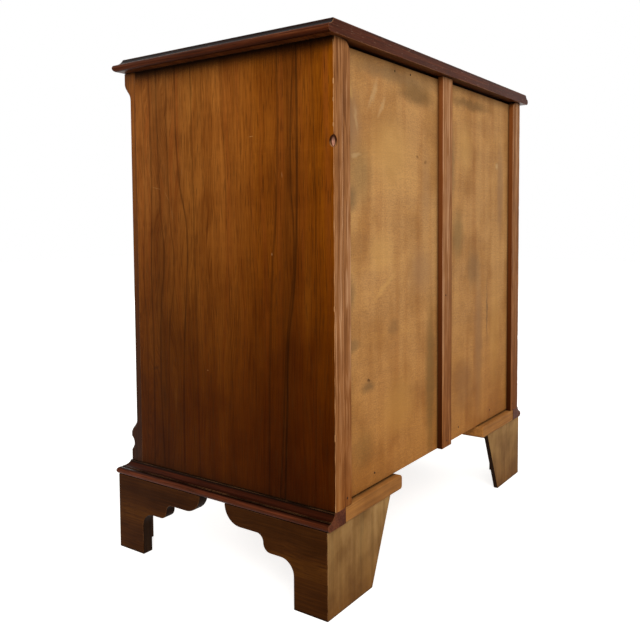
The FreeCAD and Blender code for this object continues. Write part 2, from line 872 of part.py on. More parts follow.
def make_drawer(number, level, opening, tails):
    """One drawer, with its front, beads, dovetailed box, bottom and handles."""
    name = f"drawer_{number}"
    half = half_opening - S["drawer_side_gap"]
    gap = S["drawer_front_gap"]
    front_low, front_high = gap, opening - gap
    side_high = opening - S["drawer_top_gap"]
    thickness, bead, seat = S["drawer_front_thickness"], S["bead_thickness"], S["bead_seat_depth"]
    wall = S["drawer_side_thickness"]
    back_start = inner_back_y - front_y - S["drawer_rear_gap"] - wall
    back_end = back_start + wall
    groove_low = S["drawer_bottom_lift"]
    groove_high = groove_low + S["drawer_bottom_thickness"]
    groove = S["groove_depth"]
    tail_end = thickness - S["dovetail_lap"]
    front_tails = tail_rows(groove_high, side_high, tails)
    handle_x = half - S["handle_inset"]
    handle_z = opening / 2 + S["handle_rise"]

    # the front: a rebate all round for the beads, sockets for the tails and a groove
    body = new_body(name + "_front", 0, front_y, level)
    outer = box_outline(-half, front_low, half, front_high)
    inner = box_outline(bead - half, front_low + bead, half - bead, front_high - bead)
    pad(body, new_sketch(body, "XZ_Plane", [outer]), thickness, reverse=True)
    rim = box_outline(
        -half - OVERCUT, front_low - OVERCUT, half + OVERCUT, front_high + OVERCUT
    )
    cut(body, new_sketch(body, "XZ_Plane", [rim, inner]), seat)
    for side in (LEFT, RIGHT):
        sockets = [tail_outline(*row, thickness, tail_end) for row in front_tails]
        sketch = new_sketch(body, "YZ_Plane", sockets, along=side * half)
        cut(body, sketch, wall, reverse=side == LEFT)
    slot = box_outline(thickness - groove, groove_low, thickness + OVERCUT, groove_high)
    sketch = new_sketch(body, "YZ_Plane", [slot])
    feature = cut(body, sketch, 2 * (half - wall + groove))
    feature.SideType = "Symmetric"
    node(name + "_front", body)

    make_beads(name, level, half, front_low, front_high)

    # the box: two sides with tails at both ends, and a back board with the pins
    pieces = []
    back_tails = tail_rows(groove_high, side_high, tails)
    for side_name, side in SIDES:
        body = new_body(f"{name}_side_{side_name}", side * half, front_y, level)
        outline = Outline(thickness, 0).line(back_end, 0).line(back_end, groove_high)
        outline.line(back_start, groove_high)
        for middle, width in back_tails:
            narrow = width - S["dovetail_spread"]
            outline.line(back_start, middle - narrow).line(back_end, middle - width)
            outline.line(back_end, middle + width).line(back_start, middle + narrow)
        outline.line(back_start, side_high).line(thickness, side_high)
        for middle, width in reversed(front_tails):
            narrow = width - S["dovetail_spread"]
            outline.line(thickness, middle + narrow).line(tail_end, middle + width)
            outline.line(tail_end, middle - width).line(thickness, middle - narrow)
        pad(body, new_sketch(body, "YZ_Plane", [outline]), wall, reverse=side == RIGHT)
        slot = box_outline(
            -side * (wall - groove), groove_low, -side * (wall + OVERCUT), groove_high
        )
        cut(body, new_sketch(body, "XZ_Plane", [slot]))
        pieces.append(body)

    body = new_body(name + "_back", 0, front_y, level)
    face = box_outline(-half, groove_high, half, side_high)
    sketch = new_sketch(body, "XZ_Plane", [face], along=-back_start)
    pad(body, sketch, wall, reverse=True)
    for side in (LEFT, RIGHT):
        sockets = [tail_outline(*row, back_start, back_end) for row in back_tails]
        sketch = new_sketch(body, "YZ_Plane", sockets, along=side * half)
        cut(body, sketch, wall, reverse=side == LEFT)
    pieces.append(body)
    group(name + "_box", pieces)

    reach = half - wall + groove
    low = (-reach, front_y + thickness - groove, level + groove_low)
    high = (reach, front_y + back_end, level + groove_high)
    node(name + "_bottom", board(name + "_bottom", low, high))

    make_handles(name, handle_x, level + handle_z)


def make_beads(name, level, half, low, high):
    """Four cock beads round a drawer front, mitred at the corners, with eased noses."""
    bead, seat, proud = S["bead_thickness"], S["bead_seat_depth"], S["bead_projection"]
    ease = S["bead_chamfer"]
    strips = []
    for key, z, flip in (("lower", low, 1), ("upper", high, -1)):
        body = new_body(f"{name}_bead_{key}", 0, front_y, level + z)
        section = Outline(seat, 0).line(seat, flip * bead).line(ease - proud, flip * bead)
        section.line(-proud, flip * (bead - ease)).line(-proud, flip * ease).line(ease - proud, 0)
        pad(body, new_sketch(body, "YZ_Plane", [section]), 2 * half, both=True)
        cut_bead_ends(body, half, flip)
        strips.append(body)
    for key, side in SIDES:
        body = new_body(f"{name}_bead_{key}", side * half, front_y, level + low)
        section = Outline(0, seat, -side).line(0, ease - proud).line(ease, -proud)
        section.line(bead - ease, -proud).line(bead, ease - proud).line(bead, seat)
        height = high - low
        pad(body, new_sketch(body, "XY_Plane", [section]), height)
        for start, flip in ((0, 1), (height, -1)):
            corner = Outline(-side * (bead + OVERCUT), start + flip * (bead + OVERCUT))
            corner.line(side * OVERCUT, start - flip * OVERCUT)
            corner.line(-side * (bead + OVERCUT), start - flip * OVERCUT)
            cut(body, new_sketch(body, "XZ_Plane", [corner]))
        strips.append(body)
    group(name + "_cock_beads", strips)


def cut_bead_ends(body, half, flip):
    """Mitre both ends of a level bead."""
    bead = S["bead_thickness"]
    for side in (LEFT, RIGHT):
        corner = Outline(side * (half - bead - OVERCUT), flip * (bead + OVERCUT))
        corner.line(side * (half + OVERCUT), -flip * OVERCUT)
        corner.line(side * (half + OVERCUT), flip * (bead + OVERCUT))
        cut(body, new_sketch(body, "XZ_Plane", [corner]))


# ---------------------------------------------------------------- the handles
def make_handle_post():
    """A brass post that stands on a rose and has a head bored for the bail. It points to -Y."""
    standoff, head, neck = S["post_standoff"], S["post_head_radius"], S["post_neck_radius"]
    rim, dome, band = S["rose_thickness"], S["rose_dome"], S["post_band"]
    rows = [
        (0, S["rose_radius"]),
        (-rim, S["rose_radius"]),
        (-rim - dome, neck),
        (head - standoff, neck),
        (band / 2 - standoff, head),
        (-band / 2 - standoff, head),
        (-head - standoff, S["post_tip_radius"]),
    ]
    return faceted_piece("handle_post", rows, [(-standoff, 0, S["bail_radius"] + S["bail_clearance"])])


def bail_steps():
    """Half of a bail's middle line from its pin: straight runs and (radius, degrees) bends."""
    end = S["post_head_radius"] - S["bail_end_setback"]
    return [
        (end + S["post_head_radius"] + S["bail_shoulder"]).value,
        (S["bail_elbow_radius"].value, 90),
        (S["bail_neck_radius"].value, BAIL_NECK_TURN),
        (S["bail_loop_radius"].value, -90 - BAIL_NECK_TURN),
    ]


def walk(point, heading, step):
    """The next points of a route after one straight run or one bend, and the new heading."""
    if not isinstance(step, tuple):
        return [point + V(math.cos(heading), math.sin(heading), 0) * step], heading
    radius, degrees = step
    side = math.copysign(math.pi / 2, degrees)
    centre = point + V(math.cos(heading + side), math.sin(heading + side), 0) * radius
    count = math.ceil(abs(degrees) / BEND_STEP)
    points = []
    for number in range(1, count + 1):
        angle = heading - side + math.radians(degrees) * number / count
        points.append(centre + V(math.cos(angle), math.sin(angle), 0) * radius)
    return points, heading + math.radians(degrees)


def make_bail():
    """A swan-necked bail: one bent rod, hung from the x axis, whose ends are its own pins."""
    start = S["post_spacing"] / 2 + S["post_head_radius"] - S["bail_end_setback"]
    points, heading = [V(start.value, 0, 0)], math.pi
    for step in bail_steps():
        further, heading = walk(points[-1], heading, step)
        points += further
    points += [V(-point.x, point.y, 0) for point in reversed(points)]
    body = new_body("bail", 0, 0, 0)
    route = new_sketch(body, "XZ_Plane")
    for near, far in zip(points, points[1:]):
        route.addGeometry(Part.LineSegment(near, far), False)
    corners = []
    for number in range(FLATS):
        angle = 2 * math.pi * (number + 0.5) / FLATS
        corners.append((S["bail_radius"] * math.cos(angle), S["bail_radius"] * math.sin(angle)))
    section = Outline(*corners[0])
    for corner in corners[1:]:
        section.line(*corner)
    rod = body.newObject("PartDesign::AdditivePipe", "bail_rod")
    rod.Profile = new_sketch(body, "YZ_Plane", [section], along=start)
    rod.Spine = (route, [])
    rod.Transition = "Right corner"
    return body


def make_handles(name, x, z):
    """Two swan-necked handles on a drawer front, each a pair of posts and a bail."""
    posts = []
    for side_name, side in SIDES:
        for end_name, end in SIDES:
            post_x = side * x + end * S["post_spacing"] / 2
            posts.append(copy_of(POST, f"{name}_{side_name}_{end_name}_post", post_x, front_y, z))
        hinge_y = front_y - S["post_standoff"]
        bail = copy_of(BAIL, f"{name}_bail_{side_name}", side * x, hinge_y, z)
        node(f"{name}_bail_{side_name}", bail)
    group(name + "_handle_posts", posts)


# ---------------------------------------------------------------- build, check and write
def check_everything():
    """Stop if any object failed, or if a cut took nothing away."""
    for thing in doc.Objects:
        if "Invalid" in thing.State or "Error" in thing.State:
            raise RuntimeError(f"{thing.Name} failed: {thing.State}")
        if thing.TypeId == "PartDesign::Pocket":
            before = thing.BaseFeature.Shape.Volume
            if thing.Shape.Volume >= before - 1e-6:
                raise RuntimeError(f"{thing.Name} cuts nothing")
    for label, thing in nodes.items():
        shape = Part.getShape(thing)
        if shape.isNull() or not shape.isValid() or not shape.Solids:
            raise RuntimeError(f"{label} has no sound solid")


def write_parts():
    os.makedirs("parts", exist_ok=True)
    for label, thing in nodes.items():
        Part.getShape(thing).exportStep(f"parts/{label}.step")


make_top()
make_corner_posts()
make_sides()
make_bottom_board()
make_top_rails()
make_drawer_rails()
make_stops()
make_back_stiles()
make_back_muntin()
make_back_panels()
make_base_mouldings()
make_base_cleats()
make_feet()
POST, BAIL = make_handle_post(), make_bail()
make_slide()
for index, (level, opening) in enumerate(zip(DRAWER_Z, OPENINGS)):
    make_drawer(index + 1, level, opening, TAIL_COUNTS[index])
doc.recompute()
check_everything()
write_parts()
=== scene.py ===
"""A bachelor's chest in polished mahogany, with a bare pine back and aged brass.

Lengths in the shape functions are millimetres; they become metres when a mesh is made.
"""

import functools
import json
import math

import bmesh
import bpy
import numpy as np
from bpy.props import FloatProperty, FloatVectorProperty, PointerProperty
from mathutils import Matrix, Vector


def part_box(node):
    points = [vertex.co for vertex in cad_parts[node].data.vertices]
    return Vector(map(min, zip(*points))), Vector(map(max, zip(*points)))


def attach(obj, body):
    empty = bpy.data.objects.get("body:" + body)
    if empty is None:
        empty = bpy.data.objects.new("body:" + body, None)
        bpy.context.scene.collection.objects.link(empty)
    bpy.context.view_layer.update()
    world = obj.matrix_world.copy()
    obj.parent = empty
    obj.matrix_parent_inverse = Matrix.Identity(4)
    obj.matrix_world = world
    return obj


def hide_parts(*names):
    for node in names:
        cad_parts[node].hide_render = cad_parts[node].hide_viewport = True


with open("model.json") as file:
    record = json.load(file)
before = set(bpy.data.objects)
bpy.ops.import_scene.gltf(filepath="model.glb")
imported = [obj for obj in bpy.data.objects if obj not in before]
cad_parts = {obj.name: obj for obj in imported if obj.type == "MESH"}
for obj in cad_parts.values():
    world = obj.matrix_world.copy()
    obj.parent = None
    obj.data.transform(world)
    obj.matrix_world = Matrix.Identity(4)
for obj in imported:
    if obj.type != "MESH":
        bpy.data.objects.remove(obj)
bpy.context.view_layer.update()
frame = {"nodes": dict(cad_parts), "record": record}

bl_info = {
    "name": "Bachelor's chest",
    "version": (1, 0, 0),
    "blender": (4, 5, 0),
    "location": "3D View > Sidebar > Chest",
    "description": "Builds a bachelor's chest with a brushing slide and four drawers",
    "category": "Add Mesh",
}

MM = 0.001
ARC_STEP = math.radians(6)
SHARP = math.radians(35)
FLAT = math.radians(0.5)  # faces that meet at less than this are one
SAME_PLACE = 1e-6  # and so are corners that lie closer than this, in metres
LEFT, RIGHT = -1, 1
SIDES = (("left", LEFT), ("right", RIGHT))
DRAWERS = (1, 2, 3, 4)
BODIES = {
    node: body
    for body, nodes in frame["record"]["behaviour"]["bodies"].items()
    for node in nodes
}
CASE_HALF, CASE_BACK = (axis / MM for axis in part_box("side_panel_right")[1][:2])


# ---------- settings
def linear(code):
    """An sRGB hex colour as linear red, green, blue and alpha; any other value as it is."""
    if not isinstance(code, str):
        return code
    parts = [int(code[i : i + 2], 16) / 255 for i in (1, 3, 5)]
    return [c / 12.92 if c <= 0.04045 else ((c + 0.055) / 1.055) ** 2.4 for c in parts] + [1.0]


def tone(title, meaning, code):
    """A colour that the user may change."""
    colour = {"subtype": "COLOR", "size": 4, "min": 0, "max": 1, "default": linear(code)}
    return FloatVectorProperty(name=title, description=meaning, **colour)


def length(title, meaning, size):
    """A length that the user may change, given in millimetres."""
    size = {"subtype": "DISTANCE", "unit": "LENGTH", "default": size * MM}
    return FloatProperty(name=title, description=meaning, **size)


SHADES = ("dark", "middle", "light")
# what each wood's tones are for: its dark grain, its ground and its light grain
TONES = {
    "veneer": ("Mahogany veneer", "#3d2009", "#6f3f16", "#99591f"),
    "solid": ("Solid mahogany", "#281006", "#532a12", "#7c4722"),
    "base": ("Base moulding", "#1a0904", "#4a2110", "#7a3e26"),
    "nose": ("Moulded ends of the top", "#220d06", "#4e2614", "#814a2c"),
    "rear": ("Rear edge of the top", "#2a1006", "#542612", "#7a4326"),
    "bracket": ("Bracket feet", "#2c1505", "#402109", "#56310e"),
    "sawn": ("Sawn edges of the brackets", "#0e0704", "#1a0e07", "#2a1a0e"),
    "block": ("Glue blocks", "#1f120a", "#3a2414", "#553822"),
    "panel": ("Pine of the back panels", "#a0764a", "#c08e56", "#d2a05e"),
    # the glue blocks' tones are kept dark as painted shade
    "frame": ("Pine of the back frame", "#5c3217", "#9f6a3e", "#d2a37c"),
    "foot": ("Pine of the rear brackets", "#8c6c42", "#a27c4a", "#b08a58"),
    "oak": ("Oak of the linings", "#8a6538", "#b18a55", "#c9a673"),
}


class ChestTones(bpy.types.PropertyGroup):
    """Colours of the woods and the brass."""

    __annotations__ = {
        f"{wood}_{shade}": tone(f"{title}, {shade}", f"The {shade} tone of its grain", code)
        for wood, (title, *codes) in TONES.items()
        for shade, code in zip(SHADES, codes)
    }
    worn: tone("Worn polish", "Bare wood where the polish is rubbed through", "#a8744a")
    brass: tone("Brass", "Polished brass", "#c79a4b")
    tarnish: tone("Tarnish", "Dulled brass in the hollows", "#6e4f24")


class ChestEdges(bpy.types.PropertyGroup):
    """How far each kind of edge is eased."""

    polished: length("Polished edge", "Rounding of polished mahogany edges", 0.7)
    bare: length("Bare edge", "Rounding of bare pine edges", 0.9)
    lining: length("Lining edge", "Rounding of drawer linings", 0.5)


class ChestStudio(bpy.types.PropertyGroup):
    """The camera and the lamps."""

    key: FloatProperty(name="Key", description="Key lamp", unit="POWER", default=118.0)
    fill: FloatProperty(name="Fill", description="Fill lamp", unit="POWER", default=70.0)
    sky: FloatProperty(name="Sky", description="Brightness of the light all round", default=0.42)
    focal_length: FloatProperty(
        name="Focal length", description="Camera lens", unit="CAMERA", default=41.4
    )


def tones_of(wood):
    """A wood's dark, middle and light tones."""
    return [getattr(bpy.context.scene.chest_tones, f"{wood}_{shade}") for shade in SHADES]


# ---------- shapes
def ends(node):
    """A CAD node's lowest and highest corners."""
    low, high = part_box(node)
    return np.array(low) / MM, np.array(high) / MM


def drawn(rows):
    """Points along an outline of straight lines and arcs.

    A row is (x, y), reached in a straight line, or (x, y, radius, turn), reached along an arc
    whose centre lies square to the middle of the chord, left of the way for turn 1 and right
    of it for turn -1.
    """
    points = [np.array([rows[0][:2]], float)]
    for row in rows[1:]:
        start, stop = points[-1][-1], np.array(row[:2], float)
        if len(row) == 2:
            points.append(stop[None])
            continue
        radius, turn = row[2:]
        chord = stop - start
        rise = math.sqrt(max(radius**2 - chord @ chord / 4, 0))
        square = turn * np.array([-chord[1], chord[0]]) / math.hypot(*chord)
        centre = (start + stop) / 2 + square * rise
        first = math.atan2(*(start - centre)[::-1])
        sweep = (math.atan2(*(stop - centre)[::-1]) - first) * turn % (2 * math.pi) * turn
        count = math.ceil(abs(sweep) / ARC_STEP)
        angle = first + sweep * np.arange(1, count + 1) / count
        points.append(centre + radius * np.stack([np.cos(angle), np.sin(angle)], -1))
    return np.vstack(points)


def places(x, y, z):
    """Points from their coordinates, where a number serves for all."""
    return np.stack(np.broadcast_arrays(x, y, z), -1)


def skin(stations, closed=False):
    """A surface over a grid of stations, each of them a loop of points.

    Its two ends are capped or, where it is closed, joined to each other as in a frame.
    """
    index = np.arange(stations[..., 0].size).reshape(stations.shape[:2])
    far = np.roll(index, -1, 0)
    quads = np.stack([index, np.roll(index, -1, 1), np.roll(far, -1, 1), far], -1)
    faces = quads if closed else quads[:-1]
    caps = [] if closed else [index[0][::-1].tolist(), index[-1].tolist()]
    return stations.reshape(-1, 3), faces.reshape(-1, 4).tolist() + caps


def walls(plan, height):
    """A closed surface that stands on a plan; its (x, y) corners may shift with the height."""
    return skin(np.stack([places(x, y, height) for x, y in plan], axis=1))


def turned(rows, count=48, start=0.0):
    """A turned piece that points to -Y: each (y, radius) row is a circle round the y axis."""
    y, radius = np.asarray(rows, float).T[:, :, None]
    angle = start + 2 * math.pi * np.arange(count) / count
    return skin(places(radius * np.cos(angle), y, radius * np.sin(angle)))


def moved(part, offset):
    """The same part in another place."""
    points, faces = part
    return points + np.asarray(offset, float), faces


def piece(name, parts, woods, node, ease=0, which=(), replaces=True):
    """Make one object from closed parts; which gives each face's material by number.

    The piece takes the body of a CAD node, which it replaces unless it is trim.
    """
    points, faces, start = [], [], 0
    for part_points, part_faces in parts:
        points.append(part_points * MM)
        faces += [[start + corner for corner in face] for face in part_faces]
        start += len(part_points)
    mesh = bpy.data.meshes.new(name)
    mesh.from_pydata(np.vstack(points).tolist(), [], faces)
    shell = bmesh.new()
    shell.from_mesh(mesh)
    bmesh.ops.recalc_face_normals(shell, faces=shell.faces)
    shell.to_mesh(mesh)
    shell.free()
    if len(which):
        mesh.polygons.foreach_set("material_index", np.asarray(which, np.int32))
    dressed(name, mesh, woods, node, ease, 2, replaces)


def dressed(name, mesh, woods, node, ease, segments, replaces=True):
    """Give a mesh its woods, and edges eased by a named rounding or by so many millimetres."""
    mesh.validate()
    mesh.shade_smooth()
    mesh.set_sharp_from_angle(angle=SHARP)
    for wood in woods if isinstance(woods, list) else [woods]:
        mesh.materials.append(wood)
    thing = bpy.data.objects.new(name, mesh)
    scene = bpy.context.scene
    scene.collection.objects.link(thing)
    if ease:
        bevel = thing.modifiers.new("eased edges", "BEVEL")
        bevel.width = getattr(scene.chest_edges, ease) if isinstance(ease, str) else ease * MM
        bevel.segments = segments
        bevel.limit_method = "ANGLE"
        bevel.angle_limit = SHARP
        bevel.harden_normals = True
    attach(thing, BODIES[node])
    if replaces:
        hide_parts(node)


def eased(node, wood, ease, segments=2, lipping=None):
    """A copy of a CAD board with its flat faces made whole and its edges rounded.

    Its front edges may have a lipping of another wood.
    """
    shell = bmesh.new()
    shell.from_mesh(frame["nodes"][node].data)
    bmesh.ops.remove_doubles(shell, verts=shell.verts, dist=SAME_PLACE)
    bmesh.ops.dissolve_limit(shell, angle_limit=FLAT, verts=shell.verts, edges=shell.edges)
    mesh = bpy.data.meshes.new(node + "_finished")
    shell.to_mesh(mesh)
    shell.free()
    if "custom_normal" in mesh.attributes:
        mesh.attributes.remove(mesh.attributes["custom_normal"])
    mesh.materials.clear()
    if lipping:
        for face in mesh.polygons:
            face.material_index = int(face.normal.y < -0.5)
    dressed(mesh.name, mesh, [wood, lipping] if lipping else wood, node, ease, segments)


# ---------- finishes
def add_node(tree, kind, inputs=(), out=0, stops=(), **options):
    """Add a node and return one of its outputs.

    inputs are values or links, in the order of the sockets or by socket. stops are a ramp's
    colours, evenly spread or as (place, colour), or a curve's points. options are the node's
    own settings. A colour may be sRGB hex.
    """
    node = tree.nodes.new("ShaderNode" + kind)
    for name, value in options.items():
        setattr(node, name, value)
    for name, value in inputs.items() if isinstance(inputs, dict) else enumerate(inputs):
        if isinstance(value, bpy.types.NodeSocket):
            tree.links.new(value, node.inputs[name])
        else:
            node.inputs[name].default_value = linear(value)
    if kind == "ValToRGB":
        ramp = node.color_ramp.elements
        for _ in stops[2:]:
            ramp.new(0.5)
        for number, (mark, stop) in enumerate(zip(ramp, stops)):
            even = (number / (len(stops) - 1), stop)
            mark.position, colour = stop if isinstance(stop, tuple) else even
            mark.color = linear(colour)
    elif stops:
        points = node.mapping.curves[0].points
        points[0].location, points[1].location = stops[0], stops[-1]
        for place in stops[1:-1]:
            points.new(*place)
        node.mapping.update()
    return node.outputs[out] if len(node.outputs) else node


def adder(owner):
    """Empty the node tree of a material or a world, and return what adds nodes to it."""
    owner.use_nodes = True
    owner.node_tree.nodes.clear()
    return functools.partial(add_node, owner.node_tree)


def new_finish(name, along="z"):
    """A material, what adds its nodes, and two kinds of places on the object in millimetres.

    The first are turned so that the grain runs along z, and the second are split as they are.
    """
    material = bpy.data.materials.new(name)
    add = adder(material)
    place = add("TexCoord", out="Object")
    place = add("Mapping", {"Vector": place, "Scale": (1000, 1000, 1000)})
    split = add("SeparateXYZ", (place,)).node.outputs
    order = {"x": (1, 2, 0), "y": (2, 0, 1), "z": (0, 1, 2)}[along]
    return material, add, add("CombineXYZ", [split[axis] for axis in order]), split


def streaks(add, space, width, run, seed, spread=0.15, detail=2.0, span=(0, 1), low=0, high=1):
    """Soft streaks of this width and run: noise drawn out along the grain.

    They go from low to high as the noise crosses the span, in shares of twice its spread.
    """
    scale = (1 / width, 1 / width, 1 / run)
    at = add("Mapping", {0: space, "Scale": scale, "Location": (seed, -seed, seed)})
    noise = add("TexNoise", {"Vector": at, "Scale": 1, "Detail": detail})
    start, stop = (0.5 + spread * (2 * share - 1) for share in span)
    return add("MapRange", (noise, start, stop, low, high))


def grain(add, space, layers, seed):
    """A weighted sum of streaks; a layer is (width, run, weight) and the weights add up to 1."""
    total = 0.0
    for number, (width, run, weight) in enumerate(layers):
        layer = streaks(add, space, width, run, seed + 11 * number, 0.17, 3.0)
        total = add("Math", (layer, weight, total), operation="MULTIPLY_ADD")
    return total


def swaying(add, space, width, run, seed, reach):
    """The grain's places, swaying sideways by up to reach millimetres."""
    sway = streaks(add, space, width, run, seed, 0.25)
    sway = add("CombineXYZ", (sway, sway))
    return add("VectorMath", (sway, (reach, reach, 0), space), operation="MULTIPLY_ADD")


# settings of a Mix node that lays one colour over another, or darkens one by another
OVER = {"out": 2, "data_type": "RGBA", "blend_type": "MIX"}
DEEPEN = OVER | {"blend_type": "MULTIPLY"}
SHEEN = "#c87c3c"  # shellac and old wax tint what they mirror


def streaked(add, colour, code, way, space, *shape, **share):
    """Lay a colour over another in streaks; way is OVER or DEEPEN."""
    share = streaks(add, space, *shape, **share)
    return add("Mix", {0: share, 6: colour, 7: code}, **way)


def marked(add, colour, space, marks, across):
    """Lay soft oval marks on a face that runs along axis 0 or 1 and up.

    A mark is its place, half width and height, tilt in degrees, colour, and strength at its
    middle, from where it falls softly to nothing at its rim.
    """
    for (place, height), (wide, tall), tilt, code, strength in marks:
        centre, size, turn = [0, 0, height], [999, 999, tall], [0, 0, 0]
        centre[across], size[across], turn[1 - across] = place, wide, math.radians(tilt)
        oval = {0: space, "Location": centre, "Rotation": turn, "Scale": size}
        oval = add("Mapping", oval, vector_type="TEXTURE")
        far = add("VectorMath", (oval,), out="Value", operation="LENGTH")
        share = add("MapRange", (far, 1, 0.2, 0, strength), interpolation_type="SMOOTHSTEP")
        colour = add("Mix", {0: share, 6: colour, 7: code}, **OVER)
    return colour


def shaded(add, colour, up, low, high, codes):
    """Darken a colour by others, evenly spread from a low height to a high one."""
    share = add("MapRange", (up, low, high))
    shade = add("ValToRGB", (share,), stops=codes)
    return add("Mix", {0: 1.0, 6: colour, 7: shade}, **DEEPEN)


def vein(add, across, up, path, width, strength):
    """A wandering line of this strength: path gives (share of the height, place across)."""
    reach = 200  # the curve spans this far to either side
    stops = [(height, 0.5 + place / (2 * reach)) for height, place in path]
    curve = add("FloatCurve", {"Value": up}, stops=stops)
    line = add("MapRange", (curve, 0, 1, -reach, reach))
    off = add("Math", (across, line), operation="SUBTRACT")
    off = add("Math", (off,), operation="ABSOLUTE")
    return add("MapRange", (off, width, 0, 0, strength), interpolation_type="SMOOTHSTEP")


def worn_and_highlit_arrises(add, space, seed, share):
    """Up to share along arrises, broken up: wear where cloths and hands rub the finish thin, and a
    painted highlight along the edges.
    """
    soft = add("Bevel", {"Radius": 1.6 * MM}, samples=4)
    true = add("NewGeometry", out="Normal")
    facing = add("VectorMath", (soft, true), out="Value", operation="DOT_PRODUCT")
    edge = add("MapRange", (facing, 0.985, 0.86, 0, share))
    patchy = streaks(add, space, 9, 45, seed + 3, 0.12, 3.0)
    return add("Math", (edge, patchy), operation="MULTIPLY")


def wax_and_painted_shade(add, colour, reach, code="#120803", share=0.9, clear=0.85, shut=0.5):
    """Painted shade, with old polish and dust: dark wherever another surface is within reach (in
    millimetres).
    """
    near = add("AmbientOcclusion", {"Distance": reach * MM}, out="AO", samples=8)
    near = add("MapRange", (near, clear, shut, 0, share))
    return add("Mix", {0: near, 6: colour, 7: code}, **OVER)


def close_finish(material, add, colour, height, roughness, depth, specular):
    """Join colour, relief and roughness to the surface; depth is the relief in millimetres."""
    relief = add("Bump", {"Height": height, "Distance": depth * MM, "Strength": 1})
    inputs = {
        "Base Color": colour,
        "Roughness": roughness,
        "Specular IOR Level": specular,
        "Specular Tint": SHEEN,
        "Normal": relief,
    }
    add("OutputMaterial", (add("BsdfPrincipled", inputs),))
    return material


def polish(material, add, space, colour, pore_colour, seed, worn, specular):
    """What all polished mahogany shares: open pores, faint cross mottle, pale arrises, painted
    shade in hollows, and sheen.

    The pores are really a third of a millimetre wide; they are drawn at 1.1 mm to show at all.
    """
    pore = streaks(add, space, 1.1, 26, seed + 31, 0.2, 1.0, (0.32, 0.08), high=0.5)
    colour = add("Mix", {0: pore, 6: colour, 7: pore_colour}, **OVER)
    mottle = (space, 38, 9, seed + 41, 0.2, 1.0)
    colour = streaked(add, colour, "#ebe8e4", DEEPEN, *mottle, high=0.3)
    blotch = (space, 42, 75, seed + 45, 0.16, 4.0, (0.3, 1))
    colour = streaked(add, colour, "#c9b8a6", DEEPEN, *blotch, high=0.5)
    # pale arrises: wear, and a painted highlight
    bare = worn_and_highlit_arrises(add, space, seed, worn)
    bare = {0: bare, 6: colour, 7: bpy.context.scene.chest_tones.worn}
    colour = wax_and_painted_shade(add, add("Mix", bare, **OVER), 7)
    roughness = streaks(add, space, 70, 130, seed + 51, low=0.37, high=0.41)
    height = add("Math", (0.0, pore), operation="SUBTRACT")
    return close_finish(material, add, colour, height, roughness, 0.06, specular)


def mahogany(name, along, wood, seed, worn=0.5, swirl=3, specular=0.12, dirt=None, scuffs=0.0):
    """French-polished mahogany: red-brown, with long soft streaks, open pores and a low sheen.

    swirl is how far its grain wanders in millimetres, and scuffs is how pale its scratches are.
    dirt is (low, high, colours): colours that darken it from one height to the other;
    on the posts, the top's ends and the base they are mostly painted shade.
    """
    material, add, space, (_, _, up) = new_finish(name, along)
    bent = swaying(add, space, 70, 190, seed + 17, swirl)
    tones = tones_of(wood)
    shade = grain(add, bent, [(46, 900, 0.4), (12, 420, 0.25), (2.2, 150, 0.35)], seed)
    colour = add("ValToRGB", (shade,), stops=tones)
    if dirt:
        colour = shaded(add, colour, up, *dirt)
    if scuffs:
        scratch = (space, 1.6, 11, seed + 19, 0.22, 3.0, (0.8, 1))
        colour = streaked(add, colour, "#a98a76", OVER, *scratch, high=scuffs)
    return polish(material, add, bent, colour, tones[0], seed, worn, specular)


def side_veneer(name, seed):
    """One leaf of mahogany veneer over a whole side: golden bands, dark veins, darker below.

    It is painted darker towards the base as shade, with some real darkening of the polish there.
    """
    material, add, space, (x, y, up) = new_finish(name)
    # broad zones over the width, their borders wavering by about a finger's width
    waver = streaks(add, space, 50, 230, seed, 0.25, low=-18, high=18)
    wild = add("MapRange", (y, -150, 60, 1, 0.3))
    zone = add("Math", (waver, wild, y), operation="MULTIPLY_ADD")
    bent = add("CombineXYZ", (0.0, zone, up))
    zone = add("MapRange", (zone, -170, 200))
    zones = ("#a8682e", "#9a602a", "#a06428", "#a66628", "#935416", "#864a14", "#985508")
    colour = add("ValToRGB", (zone,), stops=zones)
    shade = grain(add, bent, [(18, 500, 0.25), (4.5, 200, 0.25), (1.3, 60, 0.5)], seed + 5)
    stops = [(0.1, "#bcaa94"), (0.5, "#e6dfd8"), (0.9, "#ffffff")]
    streak = add("ValToRGB", (shade,), stops=stops)
    colour = add("Mix", {0: 1.0, 6: colour, 7: streak}, **DEEPEN)
    ruddy = (bent, 13, 420, seed + 7, 0.2, 3.0, (0.5, 1))
    colour = streaked(add, colour, "#8a4718", OVER, *ruddy, high=0.5)
    dark = tones_of("veneer")[0]
    broken = streaks(add, space, 6, 60, seed + 9, 0.3, low=0.55)
    share = add("MapRange", (up, *SHADE_TOWARDS_BASE[:2]))
    for path, width, strength in SIDE_VEINS:
        line = vein(add, y, share, path, width, strength)
        line = add("Math", (line, broken), operation="MULTIPLY")
        colour = add("Mix", {0: line, 6: colour, 7: dark}, **OVER)
    # painted shade: darker and greener towards the base
    colour = shaded(add, colour, up, *SHADE_TOWARDS_BASE)
    colour = marked(add, colour, space, SIDE_MARKS, 1)
    colour = chipped(add, colour, x, y, up)
    # the long reach paints the shadow under the top's overhang, besides dust in the joints
    colour = wax_and_painted_shade(add, colour, 60, share=0.97, clear=0.9, shut=0.7)
    return polish(material, add, space, colour, dark, seed, 0.2, 0.04)


# painted shade, with some real toning: the side goes darker and greener towards the base, in
# colours between these two heights
SHADE_TOWARDS_BASE = ("#7c6432", "#8c7646", "#aa9a78", "#ccc0a8", "#eae4da", "#fbf8f4", "#ffffff")
SHADE_TOWARDS_BASE = (145, 745, SHADE_TOWARDS_BASE)


